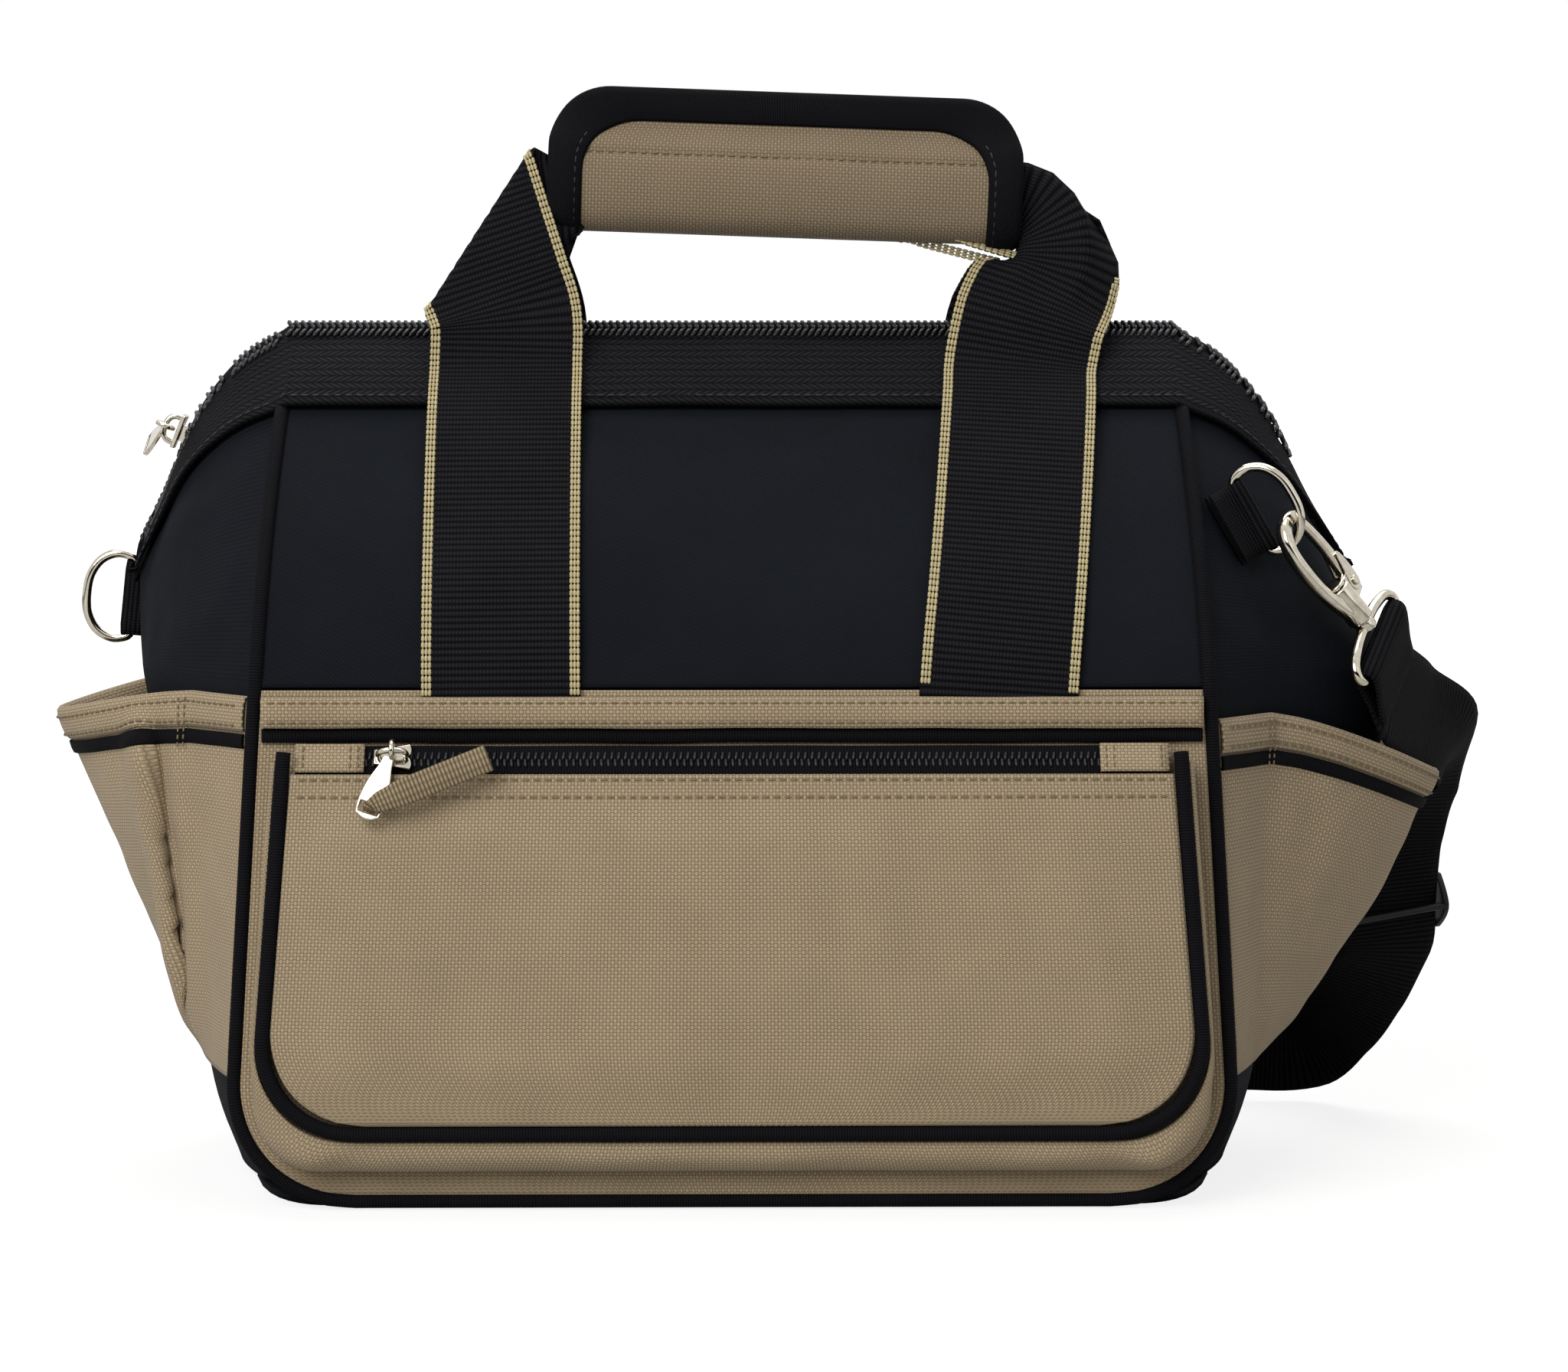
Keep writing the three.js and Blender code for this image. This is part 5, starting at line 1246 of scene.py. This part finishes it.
# the place goes into the mesh, so the finished piece sits at the origin
def settle(piece, name, look, place):
    selectOnly(piece)
    if piece.type == "CURVE":
        bpy.ops.object.convert(target="MESH")
        piece = bpy.context.object
    piece.name = name
    piece.data.name = name
    metre = Matrix.Translation(place.translation * mm) @ place.to_3x3().to_4x4() @ Matrix.Scale(mm, 4)
    piece.matrix_world = metre @ piece.matrix_world
    bpy.ops.object.transform_apply(location=True, rotation=True, scale=True)
    piece.data.materials.clear()
    piece.data.materials.append(looks[look])
    bpy.ops.object.shade_smooth_by_angle(angle=math.radians(38))
    return piece


def addSpline(curve, points, closed):
    spline = curve.splines.new("POLY")
    spline.points.add(len(points) - 1)
    for point, (x, y, z) in zip(spline.points, points):
        point.co = (x, y, z, 1)
    spline.use_cyclic_u = closed


def newCurve(name, flat):
    curve = bpy.data.curves.new(name, "CURVE")
    curve.dimensions = "2D" if flat else "3D"
    piece = bpy.data.objects.new(name, curve)
    scene.collection.objects.link(piece)
    return piece, curve


def wire(name, points, radius, look, place, closed=True):
    piece, curve = newCurve(name, False)
    addSpline(curve, [tuple(p) for p in points], closed)
    curve.bevel_depth = radius
    curve.bevel_resolution = 5
    curve.use_fill_caps = True
    return settle(piece, name, look, place)


def plate(name, outlines, thick, edge, look, place):
    piece, curve = newCurve(name, True)
    for outline in outlines:
        addSpline(curve, [(x, y, 0) for x, y in outline], True)
    curve.fill_mode = "BOTH"
    curve.extrude = thick / 2 - edge
    curve.bevel_depth = edge
    curve.bevel_resolution = 3
    curve.offset = -edge
    return settle(piece, name, look, place)


def turnedBar(name, radius, fromY, toY, look, place, edge=0.3):
    bpy.ops.mesh.primitive_cylinder_add(vertices=40, radius=radius, depth=toY - fromY,
                                        location=(0, (fromY + toY) / 2, 0), rotation=(math.pi / 2, 0, 0))
    piece = bpy.context.object
    bevel = piece.modifiers.new("edge", "BEVEL")
    bevel.width = edge
    bevel.segments = 3
    applyAll(piece)
    return settle(piece, name, look, place)


def merge(first, *others):
    selectOnly(first, *others)
    bpy.ops.object.join()
    return first


def bezier(p0, p1, p2, p3, count=14):
    out = []
    for k in range(1, count + 1):
        t = k / count
        a, b, c, d = (1 - t) ** 3, 3 * t * (1 - t) ** 2, 3 * t * t * (1 - t), t ** 3
        out.append(tuple(a * p0[i] + b * p1[i] + c * p2[i] + d * p3[i] for i in (0, 1)))
    return out


def quad(p0, p1, p2, count=8):
    inner = [tuple(mix(end[i], p1[i], 2 / 3) for i in (0, 1)) for end in (p0, p2)]
    return bezier(p0, *inner, p2, count)


# D-rings and the webbing that holds them
ringSet = {"wire": 1.55, "halfBar": 14.2, "depth": 15.5, "tabWidth": 25, "tabThick": 1.3, "lean": 1.25}
bow = [(0.42, 0), (0.9, 0), (1, 0.17), (1.02, 0.42), (0.84, 0.74), (0.46, 0.95)]
half = [(x * ringSet["halfBar"], y * ringSet["depth"], 0) for x, y in bow]
ringPoints = [(0, 0, 0)] + half + [(0, ringSet["depth"], 0)] + [(-x, y, z) for x, y, z in reversed(half)]
ringLoop = closedLoop(ringPoints, 0.8)
for name, key, lift in (("left", "leftRing", 7.5), ("right", "rightRing", 3.8)):
    place = places[key]
    piece = wire(name + "_dring_wire", ringLoop, ringSet["wire"], "nickel", place)
    joinUp(piece, [name + "_dring"], name + "_dring")
    x, reach, z = (Vector(place.col[i][:3]) for i in range(3))
    lean = ringSet["lean"]
    normal = reach * math.sin(lean) + z * math.cos(lean)
    flat = reach * math.cos(lean) - z * math.sin(lean)
    foot = place.translation - normal * lift
    fold = ringSet["wire"] + 0.4 + ringSet["tabThick"] / 2
    trail = [(-15, 1.1), (-8, 1.1), (0.5, 1.2), (fold * 0.9, 0.45 * lift), (fold, lift)]
    trail += [(fold * math.cos(a), lift + fold * math.sin(a)) for a in spread(0.5, math.pi - 0.5, 6)]
    trail += [(-fold, lift), (-fold - 1.2, 0.55 * lift + 1.2), (-8, 2.6), (-15, 2.6)]
    stations = [(foot + flat * a + normal * b, x, 0, 0) for a, b in trail]
    frames = strapFrames(strapRoute(stations, 1.6))
    rings = strapRings(frames, ringSet["tabWidth"], ringSet["tabThick"], ringSet["tabWidth"], 1, 9)
    joinUp(sweep(name + "_dring_loop", rings, "strapWeb"), [name + "_dring_tab"])
print("rings made")


# swivel snap hooks: cast loop, forked spring gate, rivet and turning eye
# turned parts have their radius and their two ends along the hook, plates their thickness and edge
hookSet = {"thick": 4.6, "cast": 1.5, "eyeWire": 1.8, "eyeHalf": 20.5, "eyeBar": 16.6, "pivot": (8.2, 5.2),
           "boss": (4.5, -5, 9.7), "leaf": (3.4, 1.1), "cheek": (1.3, 0.3), "cheekOut": 2.0, "pin": (1.3, -2.8, 2.8),
           "head": 1.75, "collar": (3.5, -9.2, -5.3), "post": (2.2, -6, 10.5), "cap": (3.7, 10, 11.4)}


def hookOutline():
    line = [(-5.5, 0), (10.8, 0)]
    line += quad(line[-1], (12.6, 5), (10.6, 9.2))
    line += quad(line[-1], (7, 10.2), (3.5, 9.6))
    line += [(-4.3, 9.6)]
    line += bezier(line[-1], (-6.8, 14), (-7.2, 22), (-6.4, 29))
    line += bezier(line[-1], (-5.6, 34.5), (-2, 36.6), (1.2, 36.5))
    line += quad(line[-1], (4, 36.3), (5.2, 34.6))
    line += [(9.6, 34.6)]
    line += bezier(line[-1], (9, 38.6), (5, 41.2), (1, 41.2))
    line += bezier(line[-1], (-6, 41.2), (-10.4, 36), (-10.8, 28))
    line += bezier(line[-1], (-11.4, 19), (-9.8, 9), (-5.5, 0))
    return line[:-1]


def gateOutline():
    px, py = hookSet["pivot"]
    line = [(px + 3 * math.cos(a), py + 3 * math.sin(a)) for a in spread(math.pi, 2 * math.pi, 14)]
    line += bezier(line[-1], (12.2, 14), (12.2, 25), (9.5, 34.2))
    line += [(5.8, 34.2)]
    line += bezier(line[-1], (8.8, 25), (8.9, 14), (px - 3, py))
    return line[:-1]


def gateCheek():
    px, py = hookSet["pivot"]
    line = [(px + 3.4 * math.cos(a), py + 3.4 * math.sin(a)) for a in spread(math.pi, 2 * math.pi, 14)]
    line += bezier(line[-1], (12.3, 9), (12, 12), (11.6, 15))
    line += bezier(line[-1], (10.5, 18), (9, 17), (8.3, 14))
    line += bezier(line[-1], (7.4, 11), (5.6, 9), (px - 3.4, py))
    return line[:-1]


# the clipped hook's eye is turned so that its bar lies along the strap's width
upAxis = Vector(places["hook"].col[1][:3])
strapAcross = Vector((0.2, 0.62, 0.76))
strapAcross = (strapAcross - upAxis * strapAcross.dot(upAxis)).normalized()
hookEyes = {"hook": math.atan2(-strapAcross.dot(Vector(places["hook"].col[2][:3])),
                               strapAcross.dot(Vector(places["hook"].col[0][:3]))), "farHook": 0.0}
for key, node in (("hook", "snap_hook"), ("farHook", "far_hook")):
    place = places[key]
    cast = plate(node + "_cast", [hookOutline()], hookSet["thick"], hookSet["cast"], "nickel", place)
    boss = turnedBar(node + "_boss", *hookSet["boss"], "nickel", place, 0.8)
    joinUp(merge(cast, boss), [node], node)

    leaf = plate(node + "_gate_leaf", [gateOutline()], *hookSet["leaf"], "nickel", place)
    cheeks = []
    for side in (-1, 1):
        shifted = place @ Matrix.Translation((0, 0, side * hookSet["cheekOut"]))
        cheeks.append(plate(node + "_gate_cheek", [gateCheek()], *hookSet["cheek"], "nickel", shifted))
    joinUp(merge(leaf, *cheeks), [node + "_gate"], node + "_gate")

    pinPlace = place @ Matrix.Translation((*hookSet["pivot"], 0)) @ Matrix.Rotation(math.pi / 2, 4, "X")
    pin = turnedBar(node + "_pin", *hookSet["pin"], "nickel", pinPlace, 0.2)
    heads = [turnedBar(node + "_pin_head", hookSet["head"], a, a + 0.8, "nickel", pinPlace, 0.35) for a in (-3.4, 2.6)]
    joinUp(merge(pin, *heads), [node + "_rivet"], node)

    eyePlace = place @ Matrix.Rotation(hookEyes[key], 4, "Y")
    arm = [(0.5, -8), (0.92, -10.6), (1.01, -13.8), (0.9, -hookSet["eyeBar"])]
    arm = [(x * hookSet["eyeHalf"], y, 0) for x, y in arm]
    bar = [(0, -hookSet["eyeBar"], 0)]
    loop = closedLoop([(0, -7.5, 0)] + arm + bar + [(-x, y, z) for x, y, z in reversed(arm)], 0.8)
    eye = wire(node + "_eye_wire", loop, hookSet["eyeWire"], "nickel", eyePlace)
    collar = turnedBar(node + "_collar", *hookSet["collar"], "nickel", eyePlace, 0.8)
    post = turnedBar(node + "_post", *hookSet["post"], "nickel", eyePlace, 0.2)
    cap = turnedBar(node + "_cap", *hookSet["cap"], "nickel", eyePlace, 0.5)
    joinUp(merge(eye, collar, post, cap), [node + "_eye"])
print("hooks made")


# shoulder strap: looped on the clipped hook, down behind the right pocket, folded in runs behind the bag
strapSet = {"width": 38, "thick": 1.7, "sewnBack": 20, "hankZ": 22.5, "firstY": 106, "spacing": 16}
# places down the hanging strap, each with the way across it
strapDrop = [
    ((236, -1, 150.5), (0.34, 0.71, 0.61)), ((250, 25, 136.5), (0.5, 0.77, 0.4)),
    ((240.4, 37, 120), (0.85, 0.5, 0.15)), ((233.7, 45.7, 102.5), (0.93, 0.33, 0.13)),
    ((232.3, 51.4, 88.6), (0.94, 0.3, 0.12)), ((232, 54.5, 76), (0.94, 0.3, 0.12)),
    ((231.6, 58.1, 61.5), (0.94, 0.3, 0.12)), ((222.5, 69, 45), (0.85, 0.3, -0.43)),
    ((214.8, 86.2, 32.4), (0.62, 0.2, -0.76)), ((208, 101, 23.1), (0.3, 0.05, -0.95)),
    ((188, 104.5, 22.6), (0.05, 0, -1)),
]


# the strap's end goes round a hook's bar and back over itself
def barLoop(bar, away, across):
    lift = across.cross(away)
    hold = hookSet["eyeWire"] + 0.45 + strapSet["thick"] / 2
    ply = strapSet["thick"] / 2 + 0.3
    side = [(strapSet["sewnBack"], ply), (14, ply + 0.2), (5, hold - 0.4), (0, hold)]
    turn = [(-hold * math.sin(a), hold * math.cos(a)) for a in (0.79, 1.57, 2.36)]
    trail = side + turn + [(a, -b) for a, b in reversed(side)]
    return [(bar + away * a + lift * b, across, 0, 0) for a, b in trail]


# the turn between two runs of the folded strap
def halfTurn(x, y, side):
    radius = strapSet["spacing"] / 2
    return [Vector((x + side * radius * math.cos(a), y + radius * math.sin(a), strapSet["hankZ"]))
            for a in spread(-math.pi / 2, math.pi / 2, 7)]


nearBar, farBar = places["hook"].translation - upAxis * hookSet["eyeBar"], Vector((-80, 138, 23))
strapAway = Vector((0.46, 0.81, -0.36))
strapAway = (strapAway - strapAcross * strapAway.dot(strapAcross)).normalized()
run1, run2, run3 = (strapSet["firstY"] + strapSet["spacing"] * k for k in range(3))
hank = [Vector((x, run1, strapSet["hankZ"])) for x in (160, 70, -30)] + halfTurn(-118, run1 + 8, -1)
hank += [Vector((x, run2, strapSet["hankZ"])) for x in (-40, 40)] + halfTurn(108, run2 + 8, 1)
hank += [Vector((x, run3, strapSet["hankZ"])) for x in (60, 0)]
stations = barLoop(nearBar, strapAway, -strapAcross)
stations += [(Vector(p), -Vector(a).normalized(), 0, 0) for p, a in strapDrop]
stations += [(p, Vector((0, 0, 1)), 0, 0) for p in hank]
stations += barLoop(farBar, Vector((1, 0, 0)), Vector((0, 0, 1)))[::-1]
frames = strapFrames(strapRoute(stations, 2.5))
rings = strapRings(frames, strapSet["width"], strapSet["thick"], strapSet["width"], 1, 13)
strapPiece = joinUp(sweep("shoulder_strap_web", rings, "strapWeb"), ["shoulder_strap"])

# adjuster: three bars between two rails, moulded in black
place = places["adjuster"]
railSet = {"half": 22.4, "bar": 1.3, "reach": 9, "offset": 3.3}
bars = []
for y, z in ((-railSet["reach"], -railSet["offset"]), (railSet["reach"], -railSet["offset"]), (0, railSet["offset"])):
    bars.append(wire("strap_slide_bar", [(-railSet["half"] + 1, y, z), (railSet["half"] - 1, y, z)], railSet["bar"],
                     "moulded", place, False))
for side in (-1, 1):
    tall = railSet["offset"] + railSet["bar"]
    line = [(-10.2, -tall), (10.2, -tall), (10.2, -2)] + quad((10.2, -2), (3.6, tall), (0, tall))
    line += quad((0, tall), (-3.6, tall), (-10.2, -2))[:-1] + [(-10.2, -2)]
    turned = place @ Matrix(((0, 0, 1, side * (railSet["half"] - 1.1)), (1, 0, 0, 0), (0, 1, 0, 0), (0, 0, 0, 1)))
    bars.append(plate("strap_slide_rail", [line], 2.2, 0.5, "moulded", turned))
slide = merge(*bars)
slide.name = "strap_slide"
joinUp(slide, ["strap_adjuster"], "strap_adjuster")

# each sewn end has a box of stitches with a cross in it
marks = []
for bar, away, across in ((nearBar, strapAway, -strapAcross), (farBar, Vector((1, 0, 0)), Vector((0, 0, 1)))):
    lift = -across.cross(away)
    corners = [(7, -15), (18, -15), (18, 15), (7, 15), (7, -15), (18, 15), (18, -15), (7, 15)]
    for (a, b), (c, d) in zip(corners, corners[1:]):
        line = [bar + away * mix(a, c, t) + across * mix(b, d, t) + lift * 2.1 for t in spread(0, 1, 6)]
        marks += stitchPlaces(line, [lift] * 6, 2.8, 0.72, 0.7, 0.5)
threads = joinUp(beads("shoulder_strap_stitches", marks, "blackThread"), [])


# zip sliders, pulls and the webbing tab
slideSet = {"plate": 1.6, "under": 2.6, "arch": 5.5, "bow": 1.0, "eye": 2.7, "eyeWire": 0.85, "pull": 24}
soleLine = [(-6, -2.6), (-1, -3.2), (5.4, -4.6)] + quad((5.4, -4.6), (6.8, -2), (5, 0))
soleLine += quad((5, 0), (6.8, 2), (5.4, 4.6)) + [(-1, 3.2), (-6, 2.6)]
low = -slideSet["pull"]
pullLine = [(-1.7, -2.2), (1.7, -2.2)] + bezier((1.7, -2.2), (2, -8), (4.3, -9), (4.4, low + 5))
pullLine += bezier((4.4, low + 5), (4.4, low + 1.4), (2.6, low), (0, low))
pullLine += bezier((0, low), (-2.6, low), (-4.4, low + 1.4), (-4.4, low + 5))
pullLine += bezier((-4.4, low + 5), (-4.3, -9), (-2, -8), (-1.7, -2.2))[:-1]
slotLine = [(-3.3, low + 2), (3.3, low + 2), (3.3, low + 5.4), (-3.3, low + 5.4)]
for node, slideKey, pullKey, pullBody in (("pocket_slider", "pocketSlider", "pocketPull", "pocket_pull"),
                                          ("top_slider", "topSlider", "topPull", "top_pull")):
    place = places[slideKey]
    sole = plate(node + "_cast", [soleLine], slideSet["plate"], 0.45, "nickel",
                 place @ Matrix.Translation((0, 0, slideSet["plate"] / 2)))
    # the lower plate takes the coil between itself and the sole
    under = [(x * 0.5, y * 0.5) for x, y in soleLine]
    sole = merge(sole, plate(node + "_under", [under], slideSet["under"], 0.4, "nickel",
                             place @ Matrix.Translation((0, 0, -slideSet["under"] / 2 + 0.2))))
    high = slideSet["arch"]
    arc = curveThrough([(-4.4, 0, 0.8), (-4.2, 0, high * 0.7), (-2.6, 0, high), (2.6, 0, high), (4.2, 0, high * 0.7),
                        (4.4, 0, 0.8)], 0.6)
    joinUp(merge(sole, wire(node + "_bow", arc, slideSet["bow"], "nickel", place, False)), [node], node)

    pullPlace = places[pullKey]
    leaf = plate(node + "_pull_leaf", [pullLine, slotLine], 1.5, 0.4, "nickel", pullPlace)
    run = Vector(place.col[0][:3])
    bowWay = Vector((run.dot(Vector(pullPlace.col[0][:3])), run.dot(Vector(pullPlace.col[1][:3])), 0)).normalized()
    side = bowWay.cross(Vector((0, 0, 1)))
    eye = [side * (slideSet["eye"] * math.cos(a)) + Vector((0, 0, slideSet["eye"] * math.sin(a)))
           for a in spread(0, 2 * math.pi, 33)[:-1]]
    joinUp(merge(leaf, wire(node + "_pull_eye", eye, slideSet["eyeWire"], "nickel", pullPlace)),
           [node + "_pull"], pullBody)

up = Vector(places["pocketPull"].col[1][:3])
facing = Vector(places["pocketPull"].col[2][:3])
slotMiddle = places["pocketPull"].translation + up * (3.7 - slideSet["pull"])
tabRun = Vector((0.92, 0.02, 0.38)).normalized()
tabAcross = Vector((0.38, 0, -0.92))
# out from the pull, along the tab, across it, and its width: gathered in the slot, then flat
tabTrail = [(-1.6, -0.3, (0.93, 0, -0.36), 4.2), (0, 0, (0.93, 0, -0.36), 4.2), (1.9, 0.6, (0.93, 0, -0.36), 4.6),
            (2.7, 5, (0.75, 0, -0.66), 7), (2.8, 12, tabAcross, 8.6), (2.4, 26, tabAcross, 8.6),
            (1.8, 41, tabAcross, 8.6)]
stations = [(slotMiddle + facing * out + tabRun * run, Vector(a), 0, 0, w) for out, run, a, w in tabTrail]
rings = []
for place, way, side, normal, low, high, width in strapFrames(strapRoute(stations, 1.2)):
    half = width / 2
    section = [(-half, 0), (-half + 0.4, 0.55), (half - 0.4, 0.55), (half, 0), (half - 0.4, -0.55),
               (-half + 0.4, -0.55)]
    rings.append([place + side * a + normal * b for a, b in section])
joinUp(sweep("pocket_pull_tape", rings, "tanTape"), ["pocket_pull_tab"], "pocket_pull")
print("sliders made")


# base panel, and the stiffener board that stays as solid
baseSet = {"half": 89.85, "straight": 130, "control": 158, "end": 163, "cloth": 2}


def baseHalf(x):
    if abs(x) <= baseSet["straight"]:
        return baseSet["half"]
    a, b = 0.0, 1.0
    for k in range(30):
        t = (a + b) / 2
        reach = baseSet["straight"] * (1 - t) ** 2 + baseSet["control"] * 2 * t * (1 - t) + baseSet["end"] * t * t
        a, b = (t, b) if reach < abs(x) else (a, t)
    return baseSet["half"] * (1 - t * t)


rows = [[Vector((x, f * baseHalf(x), 0.05)) for x in spread(-162.8, 162.8, 90)] for f in spread(-1, 1, 30)]
piece = clothSheet("base_cloth", rows, baseSet["cloth"], "blackTwill", Vector((0, 0, -1)))
joinUp(piece, ["base_panel"])
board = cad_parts["base_board"]
board.data.materials.clear()
board.data.materials.append(looks["board"])
print("base made")
